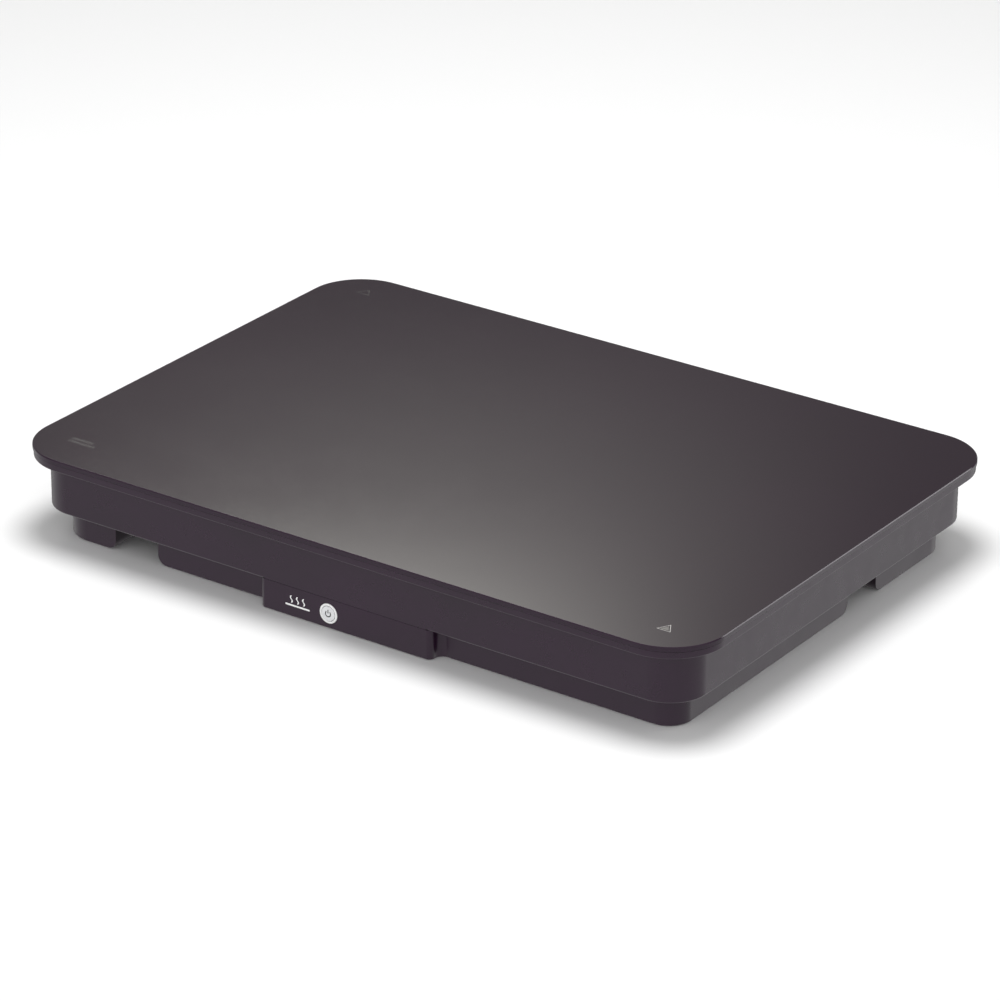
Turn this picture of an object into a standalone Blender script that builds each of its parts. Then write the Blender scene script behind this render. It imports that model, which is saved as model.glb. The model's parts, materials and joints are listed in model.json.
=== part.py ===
"""Glass-topped electric warming plate for heating massage stones, with its working parts inside.

Metres, +Z up. The origin is the middle of the footprint on the surface that it stands on,
+X runs to the right along the front and -Y is the front.
"""

import math

import bmesh
import bpy
from mathutils import Matrix, Vector

# ---- driving dimensions ----
HEIGHT = 0.0735
GAP = 0.0003  # air between pieces that touch
WALL = 0.0025
ROOT = 0.001  # how deep a post or boss is sunk into the wall that it grows from

GLASS = (0.600, 0.424)
GLASS_THICK = 0.0040
GLASS_RADIUS = 0.045
ARRIS = 0.0007

# seal between the glass and the rim
GASKET = (0.588, 0.412)
GASKET_HOLE = (0.576, 0.400)
GASKET_RADIUS = 0.039
GASKET_HOLE_RADIUS = 0.033
GASKET_THICK = 0.0015
GROOVE_PLAY = 0.0006

RIM = (0.5985, 0.4225)
RIM_RADIUS = 0.04425
RIM_TOP = 0.0692
RIM_BOTTOM = 0.0641
RIM_EASE = 0.0008
RIM_LIP = 0.00225  # thickness of the lip that hangs round the hollow under the rim
RIM_HOLLOW = 0.0018

BODY = (0.5732, 0.3972)
BODY_RADIUS = 0.0305
BODY_BOTTOM = 0.0239
BODY_EASE = 0.0012
LEDGE_OPENING = (0.510, 0.334)
LEDGE_TOP = BODY_BOTTOM + WALL

BASE = (0.5502, 0.3742)
BASE_RADIUS = 0.0189
BASE_ROUNDER = 0.028  # front left and rear right corners
BASE_BOTTOM = 0.00095
BASE_TOP = BODY_BOTTOM - GAP
FLOOR_TOP = BASE_BOTTOM + WALL

# control panel that stands forward from the base, flush with the body above it
PANEL_X = (-0.076, 0.076)
PANEL_EDGE = 0.0045
PANEL_COVE = 0.006

# notches in the foot of the base
NOTCH_WIDTH = 0.040
NOTCH_DEPTH = 0.050
NOTCH_TOP = BASE_TOP - WALL
NOTCH_ROUND = 0.0075
FRONT_NOTCH_X = -0.1993
SIDE_NOTCH_Y = 0.0595

# air slots: width and pitch, then the first slot of each row
FLOOR_SLOT = (0.003, 0.012)
FLOOR_SLOT_LENGTH = 0.036
FLOOR_SLOT_COUNT = 10
FLOOR_SLOT_ROWS = ((0.036, 0.092), (-0.150, -0.128))
REAR_SLOT = (0.003, 0.008)
REAR_SLOT_COUNT = 12
REAR_SLOT_FIRST = -0.110
REAR_SLOT_Z = (0.008, 0.019)

# power button
BUTTON_X = -0.0143
BUTTON_Z = 0.0120
BUTTON_TRAVEL = 0.0010
BEZEL_RADIUS = 0.0080
BEZEL_PROUD = 0.0003
BEZEL_DEPTH = 0.0035
BEZEL_EARS = (0.022, 0.0162)
CAP_RADIUS = 0.0058
CAP_PROUD = 0.0006
CAP_EASE = 0.0005
CAP_FLANGE = (0.0043, 0.0055)  # from front to back, behind the body's front face
CAP_FLANGE_RADIUS = 0.0070
CAP_STEM_RADIUS = 0.0018
CAP_STEM_END = 0.0070
SPRING_RADIUS = 0.0052
SPRING_THREAD = 0.00025
SPRING_TURNS = 3
SWITCH_SIDE = 0.006
SWITCH_HEIGHT = 0.0032
SWITCH_FLOOR = 0.0008
PLUNGER_RADIUS = 0.0014

# heater stack, from the glass down, and the radius of each sheet's corners
SPREADER = (0.520, 0.344, 0.0015)
HEATER = (0.512, 0.336, 0.0008)
INSULATION = (0.516, 0.340, 0.0132)
SHIELD = (0.558, 0.382)
SPREADER_RADIUS = 0.020
HEATER_RADIUS = 0.016
INSULATION_RADIUS = 0.018
SHIELD_RADIUS = 0.026
SHIELD_SHEET = 0.0008
SHIELD_LIP = 0.010
LEAD_HOLE = 0.0048

# fixing points, by place
CORNERS = {"front_left": (-1, -1), "front_right": (1, -1), "rear_left": (-1, 1), "rear_right": (1, 1)}
BASE_SCREWS = {
    **{place: (0.260 * x, 0.171 * y) for place, (x, y) in CORNERS.items()},
    "front_middle": (-0.120, -0.1795),
    "rear_middle": (0.120, 0.1795),
}
SHIELD_SCREWS = {place: (0.272 * x, 0.110 * y) for place, (x, y) in CORNERS.items()}
FEET = {place: (0.248 * x, 0.135 * y) for place, (x, y) in CORNERS.items()}
FOOT_RADIUS = 0.009
FOOT_EASE = (0.001, 0.0006)
FOOT_SEAT = BASE_BOTTOM + 0.001

# screws: the radius and height of each head, and the shank
BASE_HEAD = (0.0034, 0.0024)
SHIELD_HEAD = (0.0034, 0.0020)
INLET_HEAD = (0.0029, 0.0019)
SHANK = 0.0015
CLEARANCE = 0.0019
PILOT = 0.0018
BASE_SCREW_SEAT = 0.014
BASE_SCREW_TIP = 0.0330
SHIELD_SCREW_TIP = 0.0420
WELL_RADIUS = 0.004
TRAY_BOSS = 0.0065
HOUSING_BOSS = 0.0045
HOUSING_BOSS_TOP = 0.038
HOUSING_POST = 0.004
PILOT_END = 0.0015  # solid plastic left at a blind hole's end

# pockets through the insulation, at the sensor, the cut-out and the heater's terminals
SENSOR_XY = (0.0, 0.0)
CUTOUT_XY = (0.060, 0.0)
TERMINAL_XY = (0.112, 0.040)
POCKET_RADIUS = {SENSOR_XY: 0.009, CUTOUT_XY: 0.0115, TERMINAL_XY: 0.011}
SENSOR_HEIGHT = 0.0062
CUTOUT_HEIGHT = 0.0098

# earth joint on the heat shield
EARTH_XY = (0.085, 0.183)
LUG_THICK = 0.0008
LUG_RADIUS = 0.0045
LUG_END = 0.013
EARTH_HOLE = 0.0020
EARTH_SCREW_TIP = 0.0450
NUT_HEIGHT = 0.0026

# circuit boards, and the moulded stakes that hold them
BOARD_THICK = 0.0016
POWER_BOARD_X = (0.015, 0.165)
POWER_BOARD_Y = (0.070, 0.150)
POWER_BOARD_Z = 0.0095
CONTROL_BOARD_X = (-0.044, 0.016)
CONTROL_BOARD_Z = (0.0042, 0.0212)
STAKE_PIN = 0.0011
STAKE_HEAD = 0.001
POWER_STAKE = 0.0035
POWER_STAKE_INSET = 0.008
CONTROL_STAKE = 0.0028
CONTROL_STAKE_INSET = 0.006

# parts that stand on the power board: limits in X, limits in Y, height
RELAY = ((0.100, 0.129), (0.100, 0.1127), 0.0157)
CAPACITOR = ((0.062, 0.088), (0.128, 0.138), 0.019)
TRANSFORMER = ((0.062, 0.086), (0.098, 0.116), 0.018)
WINDING = ((0.0655, 0.0825), (0.094, 0.120), (0.0035, 0.0145))
CHIP = ((0.056, 0.066), (0.081, 0.087), 0.0018)
SIGNAL_SOCKET = ((0.072, 0.082), (0.0725, 0.078), 0.006)
MAINS_TERMINALS = ((0.100, 0.136), (0.131, 0.1435), 0.012)
HEATER_TERMINALS = ((0.098, 0.126), (0.078, 0.0895), 0.012)
MAINS_CLAMPS = [(x, 0.1365) for x in (0.106, 0.118, 0.130)]
HEATER_CLAMPS = [(x, 0.084) for x in (0.105, 0.119)]
CLAMP_RADIUS = 0.0024
CLAMP_DEPTH = 0.003
BULK_XY = (0.047, 0.108)
FUSE_X = (0.030, 0.052)
FUSE_YZ = (0.134, 0.0032)
MOULD_EASE = 0.0005
MOULD_CORNER = 0.0008

# mains inlet in the rear wall
INLET_X = 0.150
INLET_Z = 0.040
INLET_BODY = (0.0274, 0.0204)
INLET_PLAY = 0.0004
INLET_FLANGE = (0.050, 0.023)
INLET_SOCKET = (0.0242, 0.0166)
SOCKET_CORNER = 0.0045
INLET_SCREW = 0.020
INLET_REAR = 0.176
BLADES = {"live": (-0.007, -0.002), "earth": (0.0, 0.002), "neutral": (0.007, -0.002)}
BLADE = (0.002, 0.004)
BLADE_SLOT = (0.0027, 0.0047)
BLADE_TAB = 0.008
BLADE_SET_BACK = 0.006

# derived levels
GLASS_BOTTOM = HEIGHT - GLASS_THICK
SPREADER_TOP = GLASS_BOTTOM - GAP
SPREADER_BOTTOM = SPREADER_TOP - SPREADER[2]
HEATER_TOP = SPREADER_BOTTOM - GAP
HEATER_BOTTOM = HEATER_TOP - HEATER[2]
INSULATION_TOP = HEATER_BOTTOM - GAP
INSULATION_BOTTOM = INSULATION_TOP - INSULATION[2]
SHIELD_TOP = INSULATION_BOTTOM - GAP
SHIELD_BOTTOM = SHIELD_TOP - SHIELD_SHEET
FRONT = -BODY[1] / 2
BASE_FRONT = -BASE[1] / 2
PANEL_INNER = FRONT + WALL
CONTROL_BOARD_Y = FRONT + 0.0121
REAR = BODY[1] / 2
INLET_FACE = REAR + GAP + 0.0025
SOCKET_FLOOR = INLET_FACE - 0.0184
BLADE_END = INLET_REAR - BLADE_TAB
ON_BOARD = POWER_BOARD_Z + BOARD_THICK + GAP
LUG_TOP = SHIELD_BOTTOM - GAP

THROUGH = (-0.01, 2 * HEIGHT)  # past the whole object, for a cutter that goes right through
SMOOTH_ANGLE = 0.6
NEAR = 1e-7


# ---- scene ----
def clear_scene():
    for thing in list(bpy.data.objects):
        bpy.data.objects.remove(thing)


def new_collection(name):
    made = bpy.data.collections.new(name)
    bpy.context.scene.collection.children.link(made)
    return made


def new_material(name, colour, roughness, metallic=0.0):
    made = bpy.data.materials.new(name)
    made.use_nodes = True
    shader = made.node_tree.nodes["Principled BSDF"]
    shader.inputs["Base Color"].default_value = (*colour, 1.0)
    shader.inputs["Roughness"].default_value = roughness
    shader.inputs["Metallic"].default_value = metallic
    made.diffuse_color = (*colour, 1.0)
    return made


# ---- shapes, each a function that adds itself to a bmesh ----
def block(x, y, z, radius=0.0, segments=6, edge=0.0, edge_segments=2, edges="both"):
    """A box between the limits, with its upright corners rounded and its rims eased."""

    def add(bm):
        size = Vector((x[1] - x[0], y[1] - y[0], z[1] - z[0]))
        middle = Vector((sum(x), sum(y), sum(z))) / 2
        made = bmesh.ops.create_cube(bm, size=1.0)["verts"]
        bmesh.ops.scale(bm, vec=size, verts=made)
        bmesh.ops.translate(bm, vec=middle, verts=made)
        uprights = [e for e in {e for v in made for e in v.link_edges} if is_upright(e)]
        if radius:
            bmesh.ops.bevel(bm, geom=uprights, offset=radius, segments=segments,
                            affect="EDGES", profile=0.5)
        if edge:
            levels = {"both": z, "top": z[1:], "bottom": z[:1]}[edges]
            rims = [e for e in bm.edges if lies_at(e, levels) and is_within(e, middle, size)]
            bmesh.ops.bevel(bm, geom=rims, offset=edge, segments=edge_segments,
                            affect="EDGES", profile=0.5)

    return add


def is_upright(edge):
    a, b = (v.co for v in edge.verts)
    return (a.xy - b.xy).length < NEAR


def lies_at(edge, levels):
    a, b = (v.co.z for v in edge.verts)
    return abs(a - b) < NEAR and any(abs(a - level) < NEAR for level in levels)


def is_within(edge, middle, size):
    reach = size / 2 + Vector((10 * NEAR,) * 3)
    return all(abs(v.co[k] - middle[k]) <= reach[k] for v in edge.verts for k in range(3))


def plate(size, z, **options):
    """A block centred on the Z axis."""
    return block((-size[0] / 2, size[0] / 2), (-size[1] / 2, size[1] / 2), z, **options)


def grown(size, by):
    """A rectangle's sides moved out by the given distance, or in when it is negative."""
    return [side + 2 * by for side in size[:2]]


def turned(profile, centre=(0, 0, 0), axis="Z", steps=24):
    """A solid of revolution. profile is (radius, height) from one end of the axis to the other."""

    def add(bm):
        points = [bm.verts.new((radius, 0.0, height)) for radius, height in profile]
        edges = [bm.edges.new(pair) for pair in zip(points, points[1:])]
        before = set(bm.verts)
        bmesh.ops.spin(bm, geom=points + edges, axis=(0, 0, 1), cent=(0, 0, 0),
                       angle=math.tau, steps=steps, use_merge=True)
        made = [v for v in bm.verts if v not in before] + points
        turn = {"Z": Matrix.Identity(3), "Y": Matrix.Rotation(-math.pi / 2, 3, "X"),
                "X": Matrix.Rotation(math.pi / 2, 3, "Y")}[axis]
        bmesh.ops.rotate(bm, cent=(0, 0, 0), matrix=turn, verts=made)
        bmesh.ops.translate(bm, vec=centre, verts=made)
        bmesh.ops.remove_doubles(bm, verts=made, dist=1e-6)

    return add


def across(spot, axis):
    """The place of an axis that passes through the other two coordinates, given in spot."""
    return {"Z": (spot[0], spot[1], 0), "Y": (spot[0], 0, spot[1]), "X": (0, *spot)}[axis]


def rod(radius, span, spot=(0, 0), axis="Z", steps=24):
    """A cylinder along an axis, between the limits in span."""
    low, high = span
    profile = [(0, low), (radius, low), (radius, high), (0, high)]
    return turned(profile, across(spot, axis), axis, steps)


def rods(radius, span, spots, axis="Z", steps=10):
    return [rod(radius, span, spot, axis, steps) for spot in spots]


def side_prism(points, y, flip=False):
    """Points in X and Z, or in Y and Z when flipped, drawn out along the other level axis."""

    def add(bm):
        ring = [bm.verts.new((p, y[0], q)) for p, q in points]
        face = bm.faces.new(ring)
        made = bmesh.ops.extrude_face_region(bm, geom=[face])["geom"]
        moved = [g for g in made if isinstance(g, bmesh.types.BMVert)]
        bmesh.ops.translate(bm, vec=(0, y[1] - y[0], 0), verts=moved)
        if flip:
            swap = Matrix(((0, 1, 0), (1, 0, 0), (0, 0, 1)))
            bmesh.ops.transform(bm, matrix=swap.to_4x4(), verts=ring + moved)

    return add


def level_prism(points, z):
    """An outline in X and Y drawn out upwards."""

    def add(bm):
        lower = [bm.verts.new((x, y, z[0])) for x, y in points]
        face = bm.faces.new(lower)
        made = bmesh.ops.extrude_face_region(bm, geom=[face])["geom"]
        raised = [g for g in made if isinstance(g, bmesh.types.BMVert)]
        bmesh.ops.translate(bm, vec=(0, 0, z[1] - z[0]), verts=raised)

    return add


def arc(centre, radius, start, end, steps=5):
    angles = [math.radians(start + (end - start) * k / steps) for k in range(steps + 1)]
    return [(centre[0] + radius * math.cos(a), centre[1] + radius * math.sin(a)) for a in angles]


# ---- objects ----
def make(name, look, *shapes, origin=(0, 0, 0)):
    """One object from shapes given relative to its origin. With no look it is a cutter."""
    bm = bmesh.new()
    for shape in shapes:
        shape(bm)
    bmesh.ops.recalc_face_normals(bm, faces=bm.faces)
    mesh = bpy.data.meshes.new(name)
    bm.to_mesh(mesh)
    bm.free()
    made = bpy.data.objects.new(name, mesh)
    made.location = origin
    if look is None:
        cutters.objects.link(made)
        made.hide_render = True
        made.display_type = "WIRE"
    else:
        pieces.objects.link(made)
        mesh.materials.append(look)
        mesh.shade_smooth()
        mesh.set_sharp_from_angle(angle=SMOOTH_ANGLE)
    return made


def boolean(target, tool, operation="DIFFERENCE"):
    step = target.modifiers.new(tool.name, "BOOLEAN")
    step.operation = operation
    step.solver = "EXACT"
    step.object = tool
    return target


def cut(target, name, *shapes):
    return boolean(target, make(name, None, *shapes))


def join(target, name, *shapes):
    return boolean(target, make(name, None, *shapes), "UNION")


def frame_cutter(name, outer, inner, z, outer_radius, inner_radius):
    """A closed rectangular ring, as a cutter."""
    made = make(name, None, plate(outer, z, radius=outer_radius))
    return cut(made, name + "_middle", plate(inner, THROUGH, radius=inner_radius))


def wire(name, look, route, radius, per_span=4):
    """A round lead through the route's points."""
    curve = bpy.data.curves.new(name, "CURVE")
    curve.dimensions = "3D"
    curve.bevel_depth = radius
    curve.bevel_resolution = 2
    curve.use_fill_caps = True
    points = smooth_route([Vector(p) for p in route], per_span)
    spline = curve.splines.new("POLY")
    spline.points.add(len(points) - 1)
    for target, point in zip(spline.points, points):
        target.co = (*point, 1.0)
    curve.materials.append(look)
    pieces.objects.link(bpy.data.objects.new(name, curve))


def smooth_route(points, per_span):
    """Points on the Catmull-Rom curve through the given ones."""
    padded = [2 * points[0] - points[1], *points, 2 * points[-1] - points[-2]]
    found = []
    for a, b, c, d in zip(padded, padded[1:], padded[2:], padded[3:]):
        for k in range(per_span):
            t = k / per_span
            found.append(0.5 * (2 * b + (c - a) * t + (2 * a - 5 * b + 4 * c - d) * t * t
                                + (3 * b - a - 3 * c + d) * t ** 3))
    return [*found, points[-1]]


# ---- housing ----
def make_glass():
    glass = plate(GLASS, (GLASS_BOTTOM, HEIGHT), radius=GLASS_RADIUS, segments=10,
                  edge=ARRIS, edge_segments=1)
    make("glass_plate", black_glass, glass)


def make_gasket():
    z = (GLASS_BOTTOM - GAP - GASKET_THICK, GLASS_BOTTOM - GAP)
    gasket = make("glass_gasket", silicone, plate(GASKET, z, radius=GASKET_RADIUS))
    cut(gasket, "gasket_middle", plate(GASKET_HOLE, THROUGH, radius=GASKET_HOLE_RADIUS))


def make_upper_housing():
    shell = plate(BODY, (BODY_BOTTOM, RIM_TOP - ROOT), radius=BODY_RADIUS, segments=8,
                  edge=BODY_EASE, edge_segments=1, edges="bottom")
    housing = make("upper_housing", body_plastic, shell)
    join(housing, "rim", plate(RIM, (RIM_BOTTOM, RIM_TOP), radius=RIM_RADIUS, segments=8,
                               edge=RIM_EASE, edge_segments=1))
    cut(housing, "housing_inside",
        plate(grown(BODY, -WALL), (LEDGE_TOP, HEIGHT), radius=BODY_RADIUS - WALL, segments=8))
    cut(housing, "ledge_opening",
        plate(LEDGE_OPENING, (BODY_BOTTOM - ROOT, LEDGE_TOP + ROOT), radius=0.010, segments=4))
    groove_floor = GLASS_BOTTOM - 2 * GAP - GASKET_THICK
    boolean(housing, frame_cutter("gasket_groove", grown(GASKET, GROOVE_PLAY),
                                  grown(GASKET_HOLE, -GROOVE_PLAY), (groove_floor, HEIGHT),
                                  GASKET_RADIUS + GROOVE_PLAY, GASKET_HOLE_RADIUS - GROOVE_PLAY))
    boolean(housing, frame_cutter("rim_underside", grown(RIM, -RIM_LIP), grown(BODY, 0.002),
                                  (RIM_BOTTOM - 0.004, RIM_BOTTOM + RIM_HOLLOW),
                                  RIM_RADIUS - RIM_LIP, BODY_RADIUS + 0.002))
    posts, bosses = SHIELD_SCREWS.values(), BASE_SCREWS.values()
    foot = LEDGE_TOP - ROOT
    join(housing, "housing_posts",
         *rods(HOUSING_POST, (foot, SHIELD_BOTTOM - GAP), posts),
         *rods(HOUSING_BOSS, (foot, HOUSING_BOSS_TOP), bosses))
    cut(housing, "housing_pilots",
        *rods(PILOT, (SHIELD_SCREW_TIP - 0.002, HEIGHT), posts, steps=8),
        *rods(PILOT, (BODY_BOTTOM - ROOT, HOUSING_BOSS_TOP - PILOT_END), bosses, steps=8))
    width, height = grown(INLET_BODY, INLET_PLAY)
    cut(housing, "inlet_opening",
        at_inlet(block((-width / 2, width / 2), (-0.006, 0.004), (-height / 2, height / 2)), REAR),
        *[at_inlet(hole, REAR) for hole in inlet_screw_holes((-0.006, 0.004))])


def base_block(name, look, inset, floor, top):
    """The base's outer shape with no inset, or its hollow when inset by the wall."""
    made = make(name, look, level_prism(base_outline(inset), (floor, top)))
    return join(made, name + "_panel", panel_block(inset, floor, top))


def base_outline(inset):
    """The base seen from above. Corners that face each other across it are alike."""
    half_x, half_y = (side / 2 for side in grown(BASE, -inset))
    corners = ((1, 1, BASE_ROUNDER), (-1, 1, BASE_RADIUS), (-1, -1, BASE_ROUNDER), (1, -1, BASE_RADIUS))
    points = []
    for quarter, (sx, sy, full) in enumerate(corners):
        radius = full - inset
        centre = (sx * (half_x - radius), sy * (half_y - radius))
        points += arc(centre, radius, 90 * quarter, 90 * quarter + 90, steps=6)
    return points


def panel_block(inset, floor, top):
    """The control panel's block: rounded front edges, and coves where it meets the base wall."""
    front, wall = FRONT + inset, BASE_FRONT + inset
    left, right = PANEL_X[0] + inset, PANEL_X[1] - inset
    edge, cove = PANEL_EDGE - inset, PANEL_COVE + inset
    behind = wall + 0.02
    points = [(right + cove, behind), (right + cove, wall)]
    points += arc((right + cove, wall - cove), cove, 90, 180)[1:]
    points += arc((right - edge, front + edge), edge, 0, -90)
    points += arc((left + edge, front + edge), edge, 270, 180)
    points += arc((left - cove, wall - cove), cove, 0, 90)
    points += [(left - cove, behind)]
    return level_prism(points, (floor, top))


def notch_shape(middle, outside, inward, skin, top, flip):
    """A notch through the foot of a wall. It flares at the bottom, where the wall's corners are
    rounded. skin is how far its surface lies outside the notch itself."""
    radius = NOTCH_ROUND - skin
    reach = NOTCH_WIDTH / 2 + NOTCH_ROUND
    level = BASE_BOTTOM + NOTCH_ROUND
    below = -0.002
    points = [(-reach, below), (reach, below), *arc((reach, level), radius, 270, 180),
              (reach - radius, top), (radius - reach, top), *arc((-reach, level), radius, 0, -90)]
    return side_prism([(middle + x, z) for x, z in points], (outside, outside + inward), flip)


def notches(name, skin, top):
    """The four notches as one tool: one on each side of the base, half a turn apart in pairs."""
    outside = 0.010
    depth = outside + NOTCH_DEPTH + skin
    front, side = BASE[1] / 2 + outside, BASE[0] / 2 + outside
    return make(name, None,
                notch_shape(FRONT_NOTCH_X, -front, depth, skin, top, False),
                notch_shape(-FRONT_NOTCH_X, front, -depth, skin, top, False),
                notch_shape(SIDE_NOTCH_Y, side, -depth, skin, top, True),
                notch_shape(-SIDE_NOTCH_Y, -side, depth, skin, top, True))


def make_base_tray():
    tray = base_block("base_tray", base_plastic, 0.0, BASE_BOTTOM, BASE_TOP)
    boolean(tray, notches("notch_openings", 0.0, NOTCH_TOP))
    hollow = base_block("base_hollow", None, WALL, FLOOR_TOP, HEIGHT)
    boolean(hollow, notches("notch_walls", WALL, 2 * HEIGHT))
    boolean(tray, hollow)
    foot = FLOOR_TOP - ROOT
    join(tray, "base_bosses",
         *rods(TRAY_BOSS, (foot, BASE_TOP - GAP), BASE_SCREWS.values(), steps=12),
         *[stake(foot, POWER_BOARD_Z, POWER_STAKE, spot, "Z") for spot in power_board_stakes()],
         *[stake(PANEL_INNER - ROOT, CONTROL_BOARD_Y, CONTROL_STAKE, spot, "Y")
           for spot in control_board_stakes()])
    well = [(0, -0.001), (WELL_RADIUS, -0.001), (WELL_RADIUS, BASE_SCREW_SEAT),
            (CLEARANCE, BASE_SCREW_SEAT), (CLEARANCE, HEIGHT), (0, HEIGHT)]
    cut(tray, "base_screw_wells",
        *[turned(well, (*spot, 0), steps=12) for spot in BASE_SCREWS.values()])
    cut(tray, "button_hole", at_button(rod(BEZEL_RADIUS + GAP, (-0.002, 0.006), axis="Y", steps=28)))
    cut(tray, "foot_recesses", *rods(FOOT_RADIUS + GAP, (-0.001, FOOT_SEAT), FEET.values(), steps=16))
    cut(tray, "floor_slots", *floor_slots())
    cut(tray, "rear_slots", *rear_slots())


def stake(root, board, radius, spot, axis):
    """A moulded post with a pin through the board, its end melted over into a head."""
    head, far = 0.55 * radius + 0.0006, board + BOARD_THICK + GAP
    profile = [(0, root), (radius, root), (radius, board - GAP), (STAKE_PIN, board - GAP),
               (STAKE_PIN, far), (head, far), (0.7 * head, far + STAKE_HEAD), (0, far + STAKE_HEAD)]
    return turned(profile, across(spot, axis), axis, steps=10)


def power_board_stakes():
    xs = (POWER_BOARD_X[0] + POWER_STAKE_INSET, POWER_BOARD_X[1] - POWER_STAKE_INSET)
    ys = (POWER_BOARD_Y[0] + POWER_STAKE_INSET, POWER_BOARD_Y[1] - POWER_STAKE_INSET)
    return [(x, y) for x in xs for y in ys]


def control_board_stakes():
    return [(CONTROL_BOARD_X[0] + CONTROL_STAKE_INSET, BUTTON_Z),
            (CONTROL_BOARD_X[1] - CONTROL_STAKE_INSET, BUTTON_Z)]


def slot_row(first, slot, count, y, z):
    width, pitch = slot
    places = [first + k * pitch for k in range(count)]
    return [block((x - width / 2, x + width / 2), y, z) for x in places]


def floor_slots():
    z = (BASE_BOTTOM - 0.002, FLOOR_TOP + 0.002)
    return [slot for first, y in FLOOR_SLOT_ROWS
            for slot in slot_row(first, FLOOR_SLOT, FLOOR_SLOT_COUNT, (y, y + FLOOR_SLOT_LENGTH), z)]


def rear_slots():
    wall = BASE[1] / 2
    return slot_row(REAR_SLOT_FIRST, REAR_SLOT, REAR_SLOT_COUNT, (wall - 0.004, wall + 0.002), REAR_SLOT_Z)


def make_feet():
    top = FOOT_SEAT - GAP
    inset, rise = FOOT_EASE
    profile = [(0, 0), (FOOT_RADIUS - inset, 0), (FOOT_RADIUS, rise), (FOOT_RADIUS, top), (0, top)]
    for place, spot in FEET.items():
        make("foot_" + place, foot_rubber, turned(profile, steps=16), origin=(*spot, 0))


def screw(name, spot, seat, tip, head, shank=SHANK, axis="Z"):
    """A pan-head screw: head is its radius and height, and its seat and tip are along the axis."""
    radius, height = head
    crown = seat + math.copysign(height, seat - tip)
    profile = [(0, crown), (0.75 * radius, crown), (radius, (crown + seat) / 2), (radius, seat),
               (shank, seat), (shank, tip), (0, tip)]
    make(name, steel, turned(profile, axis=axis, steps=10), origin=across(spot, axis))


def make_screws():
    for place, spot in BASE_SCREWS.items():
        screw("base_screw_" + place, spot, BASE_SCREW_SEAT - GAP, BASE_SCREW_TIP, BASE_HEAD)
    for place, spot in SHIELD_SCREWS.items():
        screw("shield_screw_" + place, spot, SHIELD_TOP + GAP, SHIELD_SCREW_TIP, SHIELD_HEAD)
    for place, side in (("left", -1), ("right", 1)):
        spot = (INLET_X + side * INLET_SCREW, INLET_Z)
        screw("inlet_screw_" + place, spot, INLET_FACE + GAP, REAR - 0.009, INLET_HEAD, 0.0014, "Y")


# ---- power button ----
def moved(shape, offset):
    """The shape, at a distance from where it would be."""

    def add(bm):
        before = set(bm.verts)
        shape(bm)
        bmesh.ops.translate(bm, vec=offset, verts=[v for v in bm.verts if v not in before])

    return add


def at_button(shape):
    return moved(shape, (BUTTON_X, FRONT, BUTTON_Z))


def make_button():
    axis = bpy.data.objects.new("power_button_axis", None)
    axis.location = (BUTTON_X, FRONT, BUTTON_Z)
    pieces.objects.link(axis)
    flange, back = CAP_FLANGE
    cap_profile = [(0, -CAP_PROUD), (CAP_RADIUS - CAP_EASE, -CAP_PROUD),
                   (CAP_RADIUS, CAP_EASE - CAP_PROUD), (CAP_RADIUS, flange),
                   (CAP_FLANGE_RADIUS, flange), (CAP_FLANGE_RADIUS, back),
                   (CAP_STEM_RADIUS, back), (CAP_STEM_RADIUS, CAP_STEM_END), (0, CAP_STEM_END)]
    cap = make("button_cap", cap_grey, turned(cap_profile, axis="Y", steps=28))
    board = CONTROL_BOARD_Y - FRONT - GAP
    body, plunger = make_switch(board)
    for piece in (make_bezel(), cap, make_spring(back + GAP, board), body, plunger):
        piece.parent = axis


def make_bezel():
    profile = [(0, -BEZEL_PROUD), (BEZEL_RADIUS - 0.0004, -BEZEL_PROUD), (BEZEL_RADIUS, 0.0001),
               (BEZEL_RADIUS, BEZEL_DEPTH), (0, BEZEL_DEPTH)]
    bezel = make("button_bezel", ring_white, turned(profile, axis="Y", steps=28))
    width, height = (side / 2 for side in BEZEL_EARS)
    ears = block((-width, width), (WALL + GAP, BEZEL_DEPTH + 0.0005), (-height, height))
    join(bezel, "bezel_ears", at_button(ears))
    bore = rod(CAP_RADIUS + GAP, (-0.002, 0.006), axis="Y", steps=28)
    return cut(bezel, "bezel_bore", at_button(bore))


def make_spring(start, end):
    """Compression spring round the switch, from the cap's flange to the board."""
    per_turn = 12
    curve = bpy.data.curves.new("button_spring", "CURVE")
    curve.dimensions = "3D"
    curve.bevel_depth = SPRING_THREAD
    curve.bevel_resolution = 1
    curve.use_fill_caps = True
    count = SPRING_TURNS * per_turn + 1
    spline = curve.splines.new("POLY")
    spline.points.add(count - 1)
    first, last = start + SPRING_THREAD, end - SPRING_THREAD
    for k, point in enumerate(spline.points):
        turn = math.tau * k / per_turn
        along = first + (last - first) * k / (count - 1)
        point.co = (SPRING_RADIUS * math.cos(turn), along, SPRING_RADIUS * math.sin(turn), 1.0)
    curve.materials.append(steel)
    made = bpy.data.objects.new("button_spring", curve)
    pieces.objects.link(made)
    return made


def make_switch(board):
    """Long-travel tactile switch on the control board: body with a bored top, and its plunger."""
    half, face, floor = SWITCH_SIDE / 2, board - SWITCH_HEIGHT, board - SWITCH_FLOOR
    body = make("switch_body", black_part, block((-half, half), (face, board), (-half, half)))
    bore = rod(PLUNGER_RADIUS + GAP, (face - 0.001, floor), axis="Y", steps=16)
    cut(body, "switch_bore", at_button(bore))
    length = (CAP_STEM_END + GAP, floor - BUTTON_TRAVEL - 0.0005)
    return body, make("switch_plunger", steel, rod(PLUNGER_RADIUS, length, axis="Y", steps=16))


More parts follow.
